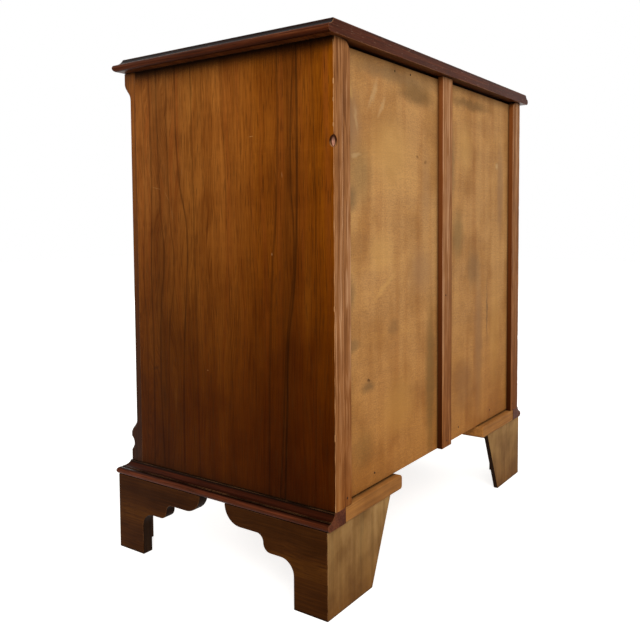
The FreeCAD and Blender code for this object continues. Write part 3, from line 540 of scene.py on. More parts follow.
def chipped(add, colour, x, y, up):
    """Pale wood wherever the back arris is knocked off, and a dirty rim round the big chip with
    painted shadow above.
    """
    side = add("Math", (x,), operation="ABSOLUTE")
    side = add("Math", (CASE_HALF, side), operation="SUBTRACT")
    back = add("Math", (CASE_BACK, y), operation="SUBTRACT")
    depth = add("Math", (side, back), operation="MINIMUM")
    bare = add("MapRange", (depth, 0.03, 1.63))
    stops = [(0.02, "#5a3214"), (0.08, "#a87548"), (0.32, "#bb8c5e"), (0.4, "#4a2a1a")]
    stops += [(0.62, "#5e382a"), (0.74, "#9a6650"), (1.0, "#b8846c")]
    pale = add("ValToRGB", (bare,), stops=stops)
    # the big chip's lip is dirty, least at its lower end, and its upper end lies in shadow
    up = add("Math", (up, BIG_CHIP[0]), operation="SUBTRACT")
    near = add("Math", (up,), operation="ABSOLUTE")
    near = add("MapRange", (near, 12, 9))
    lip = add("MapRange", (bare, 0.5, 0.4))
    fading = add("MapRange", (up, -7, 1, 0.25, 1))
    lip = add("Math", (lip, fading), operation="MULTIPLY")
    shadow = add("MapRange", (up, -1, 5, 0, 0.9))
    lip = add("Math", (lip, shadow), operation="MAXIMUM")
    lip = add("Math", (lip, near), operation="MULTIPLY")
    pale = add("Mix", {0: lip, 6: pale, 7: "#2c170d"}, **OVER)
    share = add("MapRange", (bare, 0, 0.1))
    return add("Mix", {0: share, 6: colour, 7: pale}, **OVER)


# dark veins of the side veneer: (share of the height, place across), width and strength
SIDE_VEINS = (
    (((0, 119), (0.17, 123), (0.35, 127), (0.46, 136), (0.6, 141), (1, 142)), 3.2, 0.95),
    (((0, 111), (0.17, 118), (0.33, 123), (0.55, 137), (0.72, 132), (1, 139)), 2.4, 0.75),
    (((0, 120), (0.35, 122), (0.52, 124), (0.65, 128), (1, 126)), 17, 0.35),
    (((0, 92), (0.35, 96), (0.52, 101), (0.65, 108), (1, 110.5)), 3.0, 0.65),
    (((0, -134), (0.3, -132), (0.5, -134), (0.65, -131), (1, -134)), 3.0, 0.7),
    (((0, -150), (0.3, -146), (0.5, -151), (0.65, -146), (1, -150)), 2.2, 0.4),
    (((0, -112), (0.28, -117), (0.42, -113), (0.52, -106), (0.65, -112), (1, -118)), 2.8, 0.65),
    (((0, -104), (0.2, -100), (0.36, -96), (0.5, -84), (0.62, -92), (1, -96)), 2.2, 0.5),
    (((0, -120), (0.3, -110), (0.5, -120), (0.7, -118), (1, -122)), 20, 0.25),
    (((0, -69), (0.3, -67), (0.45, -60), (0.6, -58), (0.72, -72), (1, -78)), 3.0, 0.7),
    (((0, -38), (0.5, -42), (1, -47)), 2.6, 0.5),
    (((0, 30), (0.4, 24), (1, 12)), 2.2, 0.3),
    (((0, 66), (0.35, 71), (0.7, 64), (1, 70)), 2.0, 0.3),
    (((0, 168), (0.5, 172), (1, 166)), 2.6, 0.4),
)
# scratches and burrs on the side: place, half width and height, tilt, colour and strength
SIDE_MARKS = (
    ((66, 629), (6.5, 0.7), 4, "#b9864a", 0.75),
    ((-121, 566), (14, 1.0), -12, "#9c6c3c", 0.7),
    ((-98, 553), (1.0, 14), 32, "#9c6c3c", 0.6),
    ((-88, 528), (1.0, 18), 10, "#9c6c3c", 0.5),
    ((118, 575), (0.8, 6), 6, "#b07c4e", 0.6),
    ((-66, 588), (0.8, 9), 0, "#a57243", 0.4),
    ((-110, 250), (7, 34), 6, "#2a1608", 0.45),
    ((-86, 250), (4, 30), 0, "#6f4218", 0.35),
    ((-128, 292), (12, 4), 20, "#2a1608", 0.5),
    ((158, 430), (12, 90), 0, "#8f5416", 0.2),
    ((100, 470), (1.2, 3), 0, "#c09060", 0.6),
    ((-20, 300), (1.2, 1.6), 0, "#b58450", 0.6),
)


def pine(name, along, wood, seed, rings=4.0, stain=0.4, edge_stain=0.0, dirt=None, worn=0.5):
    """Bare pine toned with age: growth lines along the board, dull, with grey-brown stains.

    edge_stain is how much red-brown stain colours its edges, painted darker towards the foot as
    shade.
    dirt is (low, high, colours): colours that darken it from one height to the other, most near
    the floor.
    """
    material, add, space, (_, _, up) = new_finish(name, along)
    bent = swaying(add, space, 30, 120, seed + 15, 5)
    dark, middle, light = tones_of(wood)
    shade = grain(add, bent, [(40, 500, 0.25), (rings, 300, 0.45), (1.5, 110, 0.3)], seed)
    colour = add("ValToRGB", (shade,), stops=[(0.05, dark), (0.5, middle), (0.95, light)])
    blotch = (space, 34, 46, seed + 27, 0.14, 5.0)
    colour = streaked(add, colour, "#b8a898", DEEPEN, *blotch, high=stain)
    # pale arrises: wear, and a painted highlight
    pale = worn_and_highlit_arrises(add, space, seed, worn)
    colour = add("Mix", {0: pale, 6: colour, 7: light}, **OVER)
    if edge_stain:
        facing = add("SeparateXYZ", (add("TexCoord", out="Normal"),))
        facing = add("Math", (facing,), operation="ABSOLUTE")
        facing = add("MapRange", (facing, 0.55, 0.85, 0, edge_stain))
        # the stain is painted darker towards the foot, as shade
        run = add("MapRange", (up, 150, 740))
        run = add("ValToRGB", (run,), stops=[(0, "#34170a"), (0.45, "#5a2c10"), (1, "#78421b")])
        colour = add("Mix", {0: facing, 6: colour, 7: run}, **OVER)
    if dirt:
        colour = shaded(add, colour, up, *dirt)
    colour = wax_and_painted_shade(add, colour, 5, "#2a1a0e", 0.6)
    return close_finish(material, add, colour, shade, 0.72, 0.12, 0.15)


DARKER_BELOW = (140, 480, ("#d4b885", "#ffffff"))  # heights between which the back's frame grows darker towards the bottom


def panel_pine(name, seed, marks, arched):
    """A wide bare pine panel: level grain that arches near the top, stains, knots and wear."""
    material, add, space, (x, _, z) = new_finish(name, "x")
    # the growth lines arch over the middle of the board and run level below
    off = add("Math", (x, 135), operation="SUBTRACT")
    arch = add("Math", (off, 2), operation="POWER")
    arch = add("Math", (arch, arched), operation="MULTIPLY")
    high = add("MapRange", (z, 480, 720))
    level = add("Math", (arch, high, z), operation="MULTIPLY_ADD")
    waver = streaks(add, space, 70, 160, seed, 0.3)
    level = add("Math", (waver, 14, level), operation="MULTIPLY_ADD")
    bent = add("CombineXYZ", (0.0, level, x))
    layers = [(34, 200, 0.25), (5, 90, 0.12), (1.6, 14, 0.23), (2.2, 3, 0.4)]
    shade = grain(add, bent, layers, seed + 3)
    dark, middle, light = tones_of("panel")
    colour = add("ValToRGB", (shade,), stops=[(0.0, dark), (0.55, middle), (1.0, light)])
    # soft upright bands and grey clouds
    upright = add("CombineXYZ", (x, 0.0, z))
    band = (upright, 24, 420, seed + 61, 0.2, 2.0, (0.4, 1))
    colour = streaked(add, colour, "#dcc6b4", DEEPEN, *band, high=0.5)
    cloud = (upright, 70, 100, seed + 71, 0.12, 4.0, (0.3, 1))
    colour = streaked(add, colour, "#d2c2ac", DEEPEN, *cloud, high=0.6)
    speck = (bent, 1.6, 6, seed + 81, 0.2, 2.0, (0.45, 0))
    colour = streaked(add, colour, "#8d6a44", OVER, *speck, high=0.4)
    ragged = add("TexNoise", {"Vector": upright, "Scale": 0.05, "Detail": 3}, out="Color")
    ragged = add("VectorMath", (ragged, (-0.5, -0.5, -0.5)))
    around = add("VectorMath", (ragged, (16, 0, 16), upright), operation="MULTIPLY_ADD")
    colour = marked(add, colour, around, marks, 0)
    colour = shaded(add, colour, z, 140, 440, ("#e6d0a8", "#ffffff"))
    # painted shade along the panel's edges, under the top board and above the cleat, with some
    # dust
    colour = wax_and_painted_shade(add, colour, 26, "#583a1e", 0.7, 0.92)
    return close_finish(material, add, colour, shade, 0.7, 0.1, 0.15)


# panel mark colours: the first paints shadow under the top board; the second is stain, and that
# shadow along the top
SHADOW_UNDER_TOP, GREY_STAIN_AND_SHADOW, MAUVE, OLIVE = "#5c4426", "#7c6040", "#96704e", "#7a623c"
GOLD, KNOT, BARE = "#cf9f5c", "#5a3a1e", "#c9a878"
PANEL_MARKS = {
    "right": (
        # painted shadow under the top board
        ((150, 722), (190, 16), 0, GREY_STAIN_AND_SHADOW, 0.6),
        ((92, 704), (80, 22), 0, SHADOW_UNDER_TOP, 0.65),
        ((290, 640), (52, 70), 0, MAUVE, 0.8),
        ((222, 688), (7, 34), -32, BARE, 0.35),
        ((200, 672), (5, 26), -36, BARE, 0.35),
        ((283, 690), (7, 26), 12, GOLD, 0.6),
        ((268, 650), (6, 22), 14, BARE, 0.3),
        ((176, 612), (90, 74), 0, GOLD, 0.45),
        ((255, 575), (40, 60), 0, OLIVE, 0.45),
        ((280, 545), (22, 26), 0, GREY_STAIN_AND_SHADOW, 0.7),
        ((268, 602), (18, 5), 0, BARE, 0.4),
        ((60, 560), (26, 90), 0, MAUVE, 0.35),
        ((75, 440), (60, 50), 0, MAUVE, 0.5),
        ((190, 420), (50, 7), 30, GOLD, 0.45),
        ((200, 470), (50, 40), 0, GOLD, 0.4),
        ((286, 416), (22, 34), 0, GREY_STAIN_AND_SHADOW, 0.55),
        ((276, 347), (26, 12), 0, GREY_STAIN_AND_SHADOW, 0.6),
        ((164, 357), (26, 18), 0, GREY_STAIN_AND_SHADOW, 0.4),
        ((237, 284), (26, 12), 0, GREY_STAIN_AND_SHADOW, 0.7),
        ((235, 292), (5, 3), 0, KNOT, 0.9),
        ((90, 611), (5, 3), 0, KNOT, 0.6),
        ((62, 605), (6, 4), 0, KNOT, 0.5),
        # painted shade beside the foot of the muntin
        ((44, 250), (24, 190), 0, OLIVE, 0.6),
        ((150, 240), (70, 60), 0, GOLD, 0.5),
        ((250, 200), (40, 40), 0, OLIVE, 0.35),
    ),
    "left": (
        # painted shadow under the top board
        ((-110, 715), (130, 14), 0, SHADOW_UNDER_TOP, 0.55),
        ((-60, 490), (34, 60), 0, OLIVE, 0.55),
        ((-34, 610), (20, 90), 0, GREY_STAIN_AND_SHADOW, 0.55),
        ((-152, 290), (26, 190), 0, MAUVE, 0.6),
        ((-128, 430), (40, 50), 0, GREY_STAIN_AND_SHADOW, 0.5),
        ((-192, 350), (4, 90), 0, GREY_STAIN_AND_SHADOW, 0.7),
        ((-230, 300), (40, 150), 0, GOLD, 0.4),
        ((-236, 616), (12, 10), 0, BARE, 0.6),
        ((-254, 570), (24, 120), 0, MAUVE, 0.6),
        ((-90, 640), (44, 60), 0, GOLD, 0.4),
        ((-90, 230), (60, 60), 0, MAUVE, 0.45),
    ),
}


def brass(name, seed):
    """Cast brass, once polished: warm yellow, gone brown in soft patches."""
    material, add, space, _ = new_finish(name)
    patch = streaks(add, space, 7, 7, seed, 0.18, 3.0)
    tones = bpy.context.scene.chest_tones
    dull = add("Math", (patch, 0.45), operation="MULTIPLY")
    colour = add("Mix", {0: dull, 6: tones.brass, 7: tones.tarnish}, **OVER)
    roughness = add("MapRange", (patch, 0, 1, 0.2, 0.42))
    grit = streaks(add, space, 0.8, 0.8, seed + 5, 0.2)
    relief = add("Bump", {"Height": grit, "Distance": 0.02 * MM, "Strength": 0.6})
    inputs = {"Base Color": colour, "Metallic": 1.0, "Roughness": roughness, "Normal": relief}
    add("OutputMaterial", (add("BsdfPrincipled", inputs),))
    return material


def rusty_iron(name, seed):
    """Old iron: nearly black, dull, with red-brown rust in patches."""
    material, add, space, _ = new_finish(name)
    patch = streaks(add, space, 2.5, 2.5, seed, 0.2, 3.0)
    stops = [(0.2, "#1d1511"), (0.6, "#3a2216"), (1.0, "#5c331d")]
    colour = add("ValToRGB", (patch,), stops=stops)
    return close_finish(material, add, colour, patch, 0.75, 0.1, 0.3)


# ---------- the top
class CHEST_OT_top(bpy.types.Operator):
    """Make the top board, moulded at the front and both ends"""

    bl_idname = "chest.top"
    bl_label = "Top board"

    def execute(self, context):
        low, high = ends("top_board")
        thickness, arris = high[2] - low[2], 1.5
        # nose, quirk and cove, as (out from the edge, height)
        rows = [(-6, 0), (0, 6, 6, 1), (-1.4, 9.6, 6, 1), (-2.8, 9.6), (-12, thickness, 14, -1)]
        out, height = drawn(rows).T
        over = np.clip(height - (thickness - arris), 0, arris)
        rear = high[1] - arris + np.sqrt(arris**2 - over**2)
        right, front = high[0] + out, low[1] - out
        plan = [(right, rear), (right, front), (-right, front), (-right, rear)]
        # painted shade under the nose, and painted shade with dust in the quirk and the cove
        dirt_and_shade_by_height = ("#b0a090", "#fff0e4", "#ffffff", "#e8d8cc", "#3a2e28", "#403430", "#5c4e46")
        dirt_and_shade_by_height = (low[2], high[2], dirt_and_shade_by_height)
        top = mahogany("polished mahogany top", "x", "solid", 2.0)
        nose = mahogany("polished mahogany top ends", "y", "nose", 3.0, 0.8, 3, 0.06, dirt_and_shade_by_height)
        edge = mahogany("stained mahogany rear edge", "x", "rear", 4.0, 0.9, 3, 0.05, scuffs=0.35)
        which = [1, 0, 1, 2] * (len(out) - 1) + [0, 0]
        part = walls(plan, low[2] + height)
        piece("moulded_top", [part], [top, nose, edge], "top_board", 0.4, which)
        return {"FINISHED"}


# ---------- the case
def cant(height):
    """The cant's depth over height: a hollow, a lamb's tongue, the cant and an upper ogee."""
    width, tongue, ogee = 13, 24, 29  # how wide the cant is, and how high its two stops
    chord, sink = 22.5, 4.4  # how high and how deep the hollow is
    depth = width / math.sqrt(2)
    lower, upper = ((rise**2 + depth**2) / (4 * depth) for rise in (tongue, ogee))
    hollow = (chord**2 / 4 + sink**2) / (2 * sink)
    foot, full = 41, height - 12.5
    rows = [(0, 0), (0, 16.5), (0, 16.5 + chord, hollow, 1), (0, foot)]
    rows += [(depth / 2, foot + tongue / 2, lower, -1), (depth, foot + tongue, lower, 1)]
    rows += [(depth, full - ogee), (depth / 2, full - ogee / 2, upper, 1)]
    return drawn([*rows, (0, full, upper, -1), (0, height)])


class CHEST_OT_posts(bpy.types.Operator):
    """Make the canted corner posts, with a lamb's tongue below and an ogee stop above"""

    bl_idname = "chest.posts"
    bl_label = "Corner posts"

    def execute(self, context):
        # the posts are painted darker towards the base, as shade, like the sides
        wood = mahogany("polished mahogany posts", "z", "veneer", 5.0, dirt=SHADE_TOWARDS_BASE)
        for name, side in SIDES:
            low, high = ends("corner_post_" + name)
            depth, height = cant(high[2] - low[2]).T
            leg = np.maximum(depth * math.sqrt(2), 0.6)
            inner, outer = (low[0], high[0])[::side]
            plan = [(inner, low[1]), (outer - side * leg, low[1]), (outer, low[1] + leg)]
            plan += [(outer, high[1]), (inner, high[1])]
            part = walls(plan, low[2] + height)
            piece("canted_post_" + name, [part], wood, "corner_post_" + name, 0.4)
        return {"FINISHED"}


def side_board(side, low, high, chips):
    """A side board whose outer back arris is worn round, its radius a wavy function of height.

    A chip is half an oval added to that radius.
    """
    steps = [middle + run * np.linspace(-1, 1, 15) for middle, _, run in chips]
    height = np.unique(np.concatenate([np.arange(low[2], high[2], 4), [high[2]], *steps]))
    radius = 1.3 + 0.4 * np.sin(height / 19) * np.sin(height / 7.3 + 1)
    for middle, size, run in chips:
        radius += size * np.sqrt(np.clip(1 - ((height - middle) / run) ** 2, 0, 1))
    inner, outer = (low[0], high[0])[::side]
    plan = [(inner, low[1]), (outer, low[1])]
    for angle in np.linspace(0, math.pi / 2, 6):
        back = high[1] + radius * (math.sin(angle) - 1)
        plan.append((outer + side * radius * (math.cos(angle) - 1), back))
    plan.append((inner, high[1]))
    # the outer face and the arris are veneer; the other faces show the core
    which = [1, 0, 0, 0, 0, 0, 0, 1, 1] * (len(height) - 1) + [1, 1]
    return walls(plan, height), which


# chips on the sides' back arris: height, extra radius and half length
BIG_CHIP = (614, 6.6, 8)
SMALL_CHIPS = ((688, 1.2, 4), (665, 0.9, 3), (634, 1.0, 3), (402, 1.0, 4), (236, 1.0, 5))
CHIPS = {
    "left": ((540, 0.9, 4), (281, 1.1, 5), (190, 0.8, 3)),
    "right": (BIG_CHIP, *SMALL_CHIPS),
}


class CHEST_OT_case(bpy.types.Operator):
    """Make the sides, bottom, rails, runners and stops of the case"""

    bl_idname = "chest.case"
    bl_label = "Case"

    def execute(self, context):
        for name, side in SIDES:
            node = "side_panel_" + name
            wood = side_veneer("mahogany veneer side " + name, 6.0 + side)
            core = pine("pine core side " + name, "z", "frame", 16.0 + side, dirt=DARKER_BELOW)
            part, which = side_board(side, *ends(node), CHIPS[name])
            piece("veneered_side_" + name, [part], [wood, core], node, which=which)
        rail_wood = mahogany("mahogany rails", "x", "veneer", 9.0)
        eased("top_rails", rail_wood, "polished")
        eased("drawer_rails", rail_wood, "polished")
        inside = pine("pine inside", "y", "panel", 13.0)
        eased("drawer_runners", inside, "bare")
        eased("drawer_stops", inside, "bare")
        eased("bottom_board", inside, "bare", lipping=rail_wood)
        # the glue blocks are coloured dark as painted shade, for they lie in shadow behind the
        # brackets
        eased("foot_blocks", pine("dirty glue blocks", "z", "block", 15.0), "bare")
        return {"FINISHED"}


# ---------- the back
def nail_head():
    """A low dome on a shank: its radius shrinks as the cosine of the way up."""
    rise = np.linspace(0, math.pi / 2, 5)[:-1]
    dome = zip(0.4 * np.sin(rise), 1.7 * np.cos(rise))
    return turned([(-0.6, 1.7), (0, 1.7), *dome, (0.4, 0.1)], 16)


class CHEST_OT_back(bpy.types.Operator):
    """Make the framed back: two stiles, a muntin, two sunk panels and their nails"""

    bl_idname = "chest.back"
    bl_label = "Back"

    def execute(self, context):
        wood = pine("toned pine frame", "z", "frame", 21.0, edge_stain=0.95, dirt=DARKER_BELOW)
        for node in ("back_stile_left", "back_stile_right", "back_muntin"):
            eased(node, wood, "bare")
        for name, side in SIDES:
            title, node = "golden pine panel " + name, "back_panel_" + name
            arched = 0.0014 if side == RIGHT else 0.0
            eased(node, panel_pine(title, 31.0 + side, PANEL_MARKS[name], arched), "bare")
        sunk, proud = ends("back_panel_right")[1][1], ends("back_muntin")[1][1]
        heads = [moved(nail_head(), (x, sunk, z)) for x, z in PANEL_NAILS]
        heads += [moved(nail_head(), (x, proud, z)) for x, z in FRAME_NAILS]
        iron = rusty_iron("rusty iron nails", 11.0)
        piece("back_nails", heads, iron, "back_muntin", replaces=False)
        return {"FINISHED"}


# nail heads on the back: places across and up
PANEL_NAILS = ((220, 158), (-66, 158), (-208, 158), (160, 729), (112, 731))
FRAME_NAILS = ((306, 150), (0, 152), (6, 393), (-304, 152))


# ---------- the base
def base_section():
    """The base moulding's section as (out, height): nose, fillet and cove over a flat strip."""
    rows = [(-24.2, 0), (12.5, 0), (17.8, 5.3, 5.3, 1), (12.5, 10.6, 5.3, 1), (10.6, 10.6)]
    rows += [(10.6, 12.1), (2, 19.7, 13, -1), (2, 21.2), (-24.2, 21.2)]
    return drawn(rows)


class CHEST_OT_base(bpy.types.Operator):
    """Make the mitred base moulding and the cleats behind it"""

    bl_idname = "chest.base"
    bl_label = "Base moulding"

    def execute(self, context):
        out, height = base_section().T
        half, back = ends("side_panel_right")[1][:2]
        front, base = ends("bottom_board")[0][1], ends("base_moulding_front")[0][2]
        left, right, ahead = -half - out, half + out, front - out
        runs = {
            "front": ("x", [(left, ahead), (right, ahead)]),
            "left": ("y", [(left, ahead), (left, back)]),
            "right": ("y", [(right, ahead), (right, back)]),
        }
        # painted shade under the nose, and painted shade with dust in the fillet and where the
        # case meets the strip
        dirt_and_shade_by_height = ("#403830", "#e8d8d0", "#ffffff", "#ffffff", "#ffffff", "#4c4038", "#98887a")
        dirt_and_shade_by_height += ("#b8a498", "#c0ac9e", "#403830", "#282018")
        dirt_and_shade_by_height = (base, base + height.max(), dirt_and_shade_by_height)
        cut = mahogany("mahogany base strip ends", "y", "rear", 39.0, specular=0.03)
        which = [0] * len(out) + [1, 1]
        for number, (name, (along, stations)) in enumerate(runs.items()):
            title = "mahogany base moulding " + name
            wood = mahogany(title, along, "base", 40.0 + number, 0.4, 3, 0.08, dirt_and_shade_by_height)
            part = skin(np.stack([places(x, y, base + height) for x, y in stations]))
            node = "base_moulding_" + name
            piece("base_strip_" + name, [part], [wood, cut], node, 0.35, which)
        # the cleats grow darker towards the bottom between these heights
        darker_low = (136, 180, ("#d6c2a8", "#ffffff"))
        # full wear pales the cleats' arrises: wear, and a painted highlight along their top arris
        wood = pine("pine cleats", "x", "panel", 45.0, dirt=darker_low, worn=1.0)
        eased("base_cleat_left", wood, 2.2, 3)
        eased("base_cleat_right", wood, 2.2, 3)
        return {"FINISHED"}


# ---------- the feet
THICK, THIN = 18, 8  # the boards of the scrolled brackets and of the plain ones


def scroll():
    """A bracket's face from its corner: toe, cove, knuckle and hollow, and an ovolo."""
    rows = [(0, 0), (54.5, 0), (54.5, 45), (75.5, 66, 21, -1), (93.5, 66)]
    rows += [(106, 78.5, 12.5, 1), (117, 89.5, 11, -1), (147.5, 89.5), (175.5, 117.5, 28, 1)]
    return drawn([*rows, (0, 117.5)])


def taper():
    """A rear bracket's face: its free edge leans out as it rises."""
    return drawn([(0, 0), (112, 0), (165, 117.5), (0, 117.5)])


def bracket(outline, corner, along, inward, thickness, mitre):
    """A board behind its outline, cut at the corner to 45 degrees as deep as the mitre."""
    reach, height = outline.T
    loops = []
    for depth in sorted({0, mitre, thickness}):
        run = np.maximum(reach, min(depth, mitre))
        x, y = (corner[i] + run * along[i] + depth * inward[i] for i in (0, 1))
        loops.append(places(x, y, height))
    return skin(np.stack(loops))


class CHEST_OT_feet(bpy.types.Operator):
    """Make the scrolled bracket feet and the plain rear brackets"""

    bl_idname = "chest.feet"
    bl_label = "Bracket feet"

    def execute(self, context):
        low, high = ends("front_bracket_right")
        right, front, rear = high[0], low[1], ends("rear_bracket_right")[1][1]
        # the rear brackets grow darker towards the bottom between these heights
        darker_low = (-10, 118, ("#b89c70", "#ffffff"))
        bare = pine("pine rear brackets", "z", "foot", 57.0, 9.0, 0.75, dirt=darker_low, worn=0.8)
        across = mahogany("mahogany front brackets", "x", "bracket", 51.0, swirl=9)
        behind = mahogany("mahogany side brackets", "y", "bracket", 53.0, swirl=9, specular=0.03)
        sawn = pine("dirty sawn bracket edges", "z", "sawn", 59.0, worn=0.2)
        for name, side in SIDES:
            wide, deep = (-side, 0), (0, 1)
            rows = [
                ("front_bracket_", scroll(), front, wide, deep, across, THICK, THICK),
                ("side_bracket_front_", scroll(), front, deep, wide, behind, THICK, THICK),
                ("side_bracket_rear_", scroll(), rear, (0, -1), wide, behind, THICK, THIN),
                ("rear_bracket_", taper(), rear, wide, (0, -1), bare, THIN, THIN),
            ]
            for label, outline, y, along, inward, wood, thickness, mitre in rows:
                part = bracket(outline, (side * right, y), along, inward, thickness, mitre)
                # the edges that the saw left are nearly black
                edge = [0] + [1] * (len(outline) - 3) + [0, 0]
                which = edge * (2 if mitre < thickness else 1) + [0, 0]
                ease = "bare" if wood is bare else "polished"
                piece(f"{label}board_{name}", [part], [wood, sawn], label + name, ease, which)
        return {"FINISHED"}


# ---------- the brushing slide
KNOB_PLACE = 165  # from the middle of the slide


def knob():
    """A turned knob, as (reach, radius): flange, neck, belly and domed tip."""
    rows = [(0, 6), (0.9, 6), (1.6, 5.2, 0.8, -1), (1.9, 3.4, 2.4, 1), (3.2, 3.3, 3, 1)]
    rows += [(6.5, 6.3, 4.5, 1), (9, 7, 5, -1), (13.4, 5, 6, -1), (15, 0.3, 6.5, -1)]
    return turned(drawn(rows) * (-1, 1))


class CHEST_OT_slide(bpy.types.Operator):
    """Make the brushing slide, with cleated ends and two turned knobs"""

    bl_idname = "chest.slide"
    bl_label = "Brushing slide"

    def execute(self, context):
        wood = mahogany("waxed mahogany slide", "x", "veneer", 61.0)
        eased("brushing_slide_board", wood, "polished")
        wood = mahogany("waxed mahogany slide ends", "y", "veneer", 63.0)
        eased("brushing_slide_ends", wood, "polished")
        low, high = ends("brushing_slide_knobs")
        z = (low[2] + high[2]) / 2
        knobs = [moved(knob(), (side * KNOB_PLACE, high[1], z)) for _, side in SIDES]
        piece("turned_knobs", knobs, brass("aged brass knobs", 3.0), "brushing_slide_knobs")
        return {"FINISHED"}


# ---------- the drawers
def bead_frame(low, high, front):
    """A cock bead round a rectangle, mitred at its corners: a half-round nose on a square seat."""
    inset, depth = drawn([(0, 6), (0, -1), (3, -1, 1.5, 1), (3, 6)]).T
    left, right = low[0] + inset, high[0] - inset
    under, over = low[2] + inset, high[2] - inset
    corners = [(left, under), (right, under), (right, over), (left, over)]
    return skin(np.stack([places(x, front + depth, z) for x, z in corners]), closed=True)


class CHEST_OT_drawers(bpy.types.Operator):
    """Make four graduated drawers with cock-beaded fronts and oak linings"""

    bl_idname = "chest.drawers"
    bl_label = "Drawers"

    def execute(self, context):
        bead_wood = mahogany("mahogany cock beads", "x", "solid", 71.0)
        lining = pine("quartered oak linings", "y", "oak", 73.0, 3.0, 0.2)
        for number in DRAWERS:
            drawer = f"drawer_{number}"
            title = f"figured mahogany drawer {number}"
            face_wood = mahogany(title, "x", "veneer", 80.0 + 5 * number, swirl=34)
            eased(drawer + "_front", face_wood, 0.3)
            part = bead_frame(*ends(drawer + "_front"), ends("bottom_board")[0][1])
            piece(drawer + "_cock_bead_frame", [part], bead_wood, drawer + "_cock_beads")
            eased(drawer + "_bottom", lining, "lining")
            box = frame["nodes"][drawer + "_box"].data
            box.materials.clear()
            box.materials.append(lining)
        return {"FINISHED"}


# ---------- the handles
HANDLE_PLACE, POST_PLACE = 174, 40  # from the drawer's middle, and from the handle's
PIN_REACH = 16  # how far a bail's pins stand out from the front
KEY_DROP = 30  # from the front's upper edge down to the keyhole
BAIL_STEP, STRAIGHT_STEPS = 7, 7  # degrees in a step of a bend, and steps in a straight part


def bail():
    """A round rod carried along a bail's line; it swells from its pins to the lower bar.

    The line runs from the pin: straight, elbow, swan neck, loop and lower bar, and its places
    are complex numbers, x + iz.
    """
    line, heading = np.array([44.5 + 0j]), np.array([math.pi])
    for size, degrees in ((14.5, 0), (5, 90), (8, 50), (8, -140), (0, 0)):
        count = math.ceil(abs(degrees) / BAIL_STEP) or STRAIGHT_STEPS
        share = np.arange(1, count + 1) / count
        turn = heading[-1] + math.radians(degrees) * share
        if degrees:
            side = math.copysign(math.pi / 2, degrees)
            path = size * (np.exp(1j * (heading[-1] + side)) + np.exp(1j * (turn - side)))
        else:
            # the last stretch has no size, and goes on to the middle of the bar
            path = (size or line[-1].real) * share * np.exp(1j * turn)
        line = np.append(line, line[-1] + path)
        heading = np.append(heading, turn)
    line = np.append(line, -line.conj()[-2::-1])
    heading = np.append(heading, -heading[-2::-1])[:, None]
    way = np.append(0, np.cumsum(np.abs(np.diff(line))))
    radius = 2.0 + 0.45 * np.sin(np.pi * way / way[-1])[:, None] ** 2
    angle = 2 * math.pi * np.arange(24) / 24
    rod = line[:, None] + radius * np.cos(angle) * 1j * np.exp(1j * heading)
    return skin(places(rod.real, radius * np.sin(angle), rod.imag))


def handle_post():
    """A turned post on a domed rose, as (reach, radius): rose, neck, ball and button."""
    rows = [(0, 12), (0.8, 12), (1.4, 11.2, 0.9, -1), (1.5, 9.6), (3.0, 3.6, 14, -1)]
    rows += [(4.2, 3.2, 1.6, 1), (8.8, 2.9), (10.4, 3.9, 2.2, 1), (11.4, 4.4)]
    rows += [(16, 5.5, 5.2, -1), (20.2, 3.2, 5.4, -1), (20.6, 2.6), (21.45, 0.3, 2.8, -1)]
    return turned(drawn(rows) * (-1, 1))


def keyhole():
    """A keyhole's outline: a round eye over a straight-sided slot."""
    return drawn([(0, -9), (2.1, -9), (2.1, 3.1), (0, 9, 4.2, 1), (-2.1, 3.1, 4.2, 1), (-2.1, -9)])


def key_bush():
    """A brass bush round a keyhole: a half-round section carried along the outline."""
    line = keyhole()
    ahead = np.roll(line, -1, 0) - np.roll(line, 1, 0)
    out = np.stack([ahead[:, 1], -ahead[:, 0]], -1) / np.hypot(*ahead.T)[:, None]
    angle = np.linspace(0, math.pi, 7)
    reach = np.concatenate([0.9 - 0.9 * np.cos(angle), [1.8, 0]])
    proud = np.concatenate([0.7 * np.sin(angle), [-1, -1]])
    x = line[:, :1] + out[:, :1] * reach
    z = line[:, 1:] + out[:, 1:] * reach
    return skin(places(x, -proud, z), closed=True)


def key_slot():
    """The dark inside of a keyhole, just proud of the wood that it stands on."""
    x, z = keyhole().T
    return skin(np.stack([places(x, y, z) for y in (-0.05, 1.0)]))


def nut():
    """A square nut on a threaded end, as (reach, radius): four flats, then a round stub."""
    block = turned([(0, 6.2), (3.2, 6.2)], 4, math.pi / 4)
    return [block, turned([(3, 2.1), (6.2, 2.1), (6.8, 1.5)], 20)]


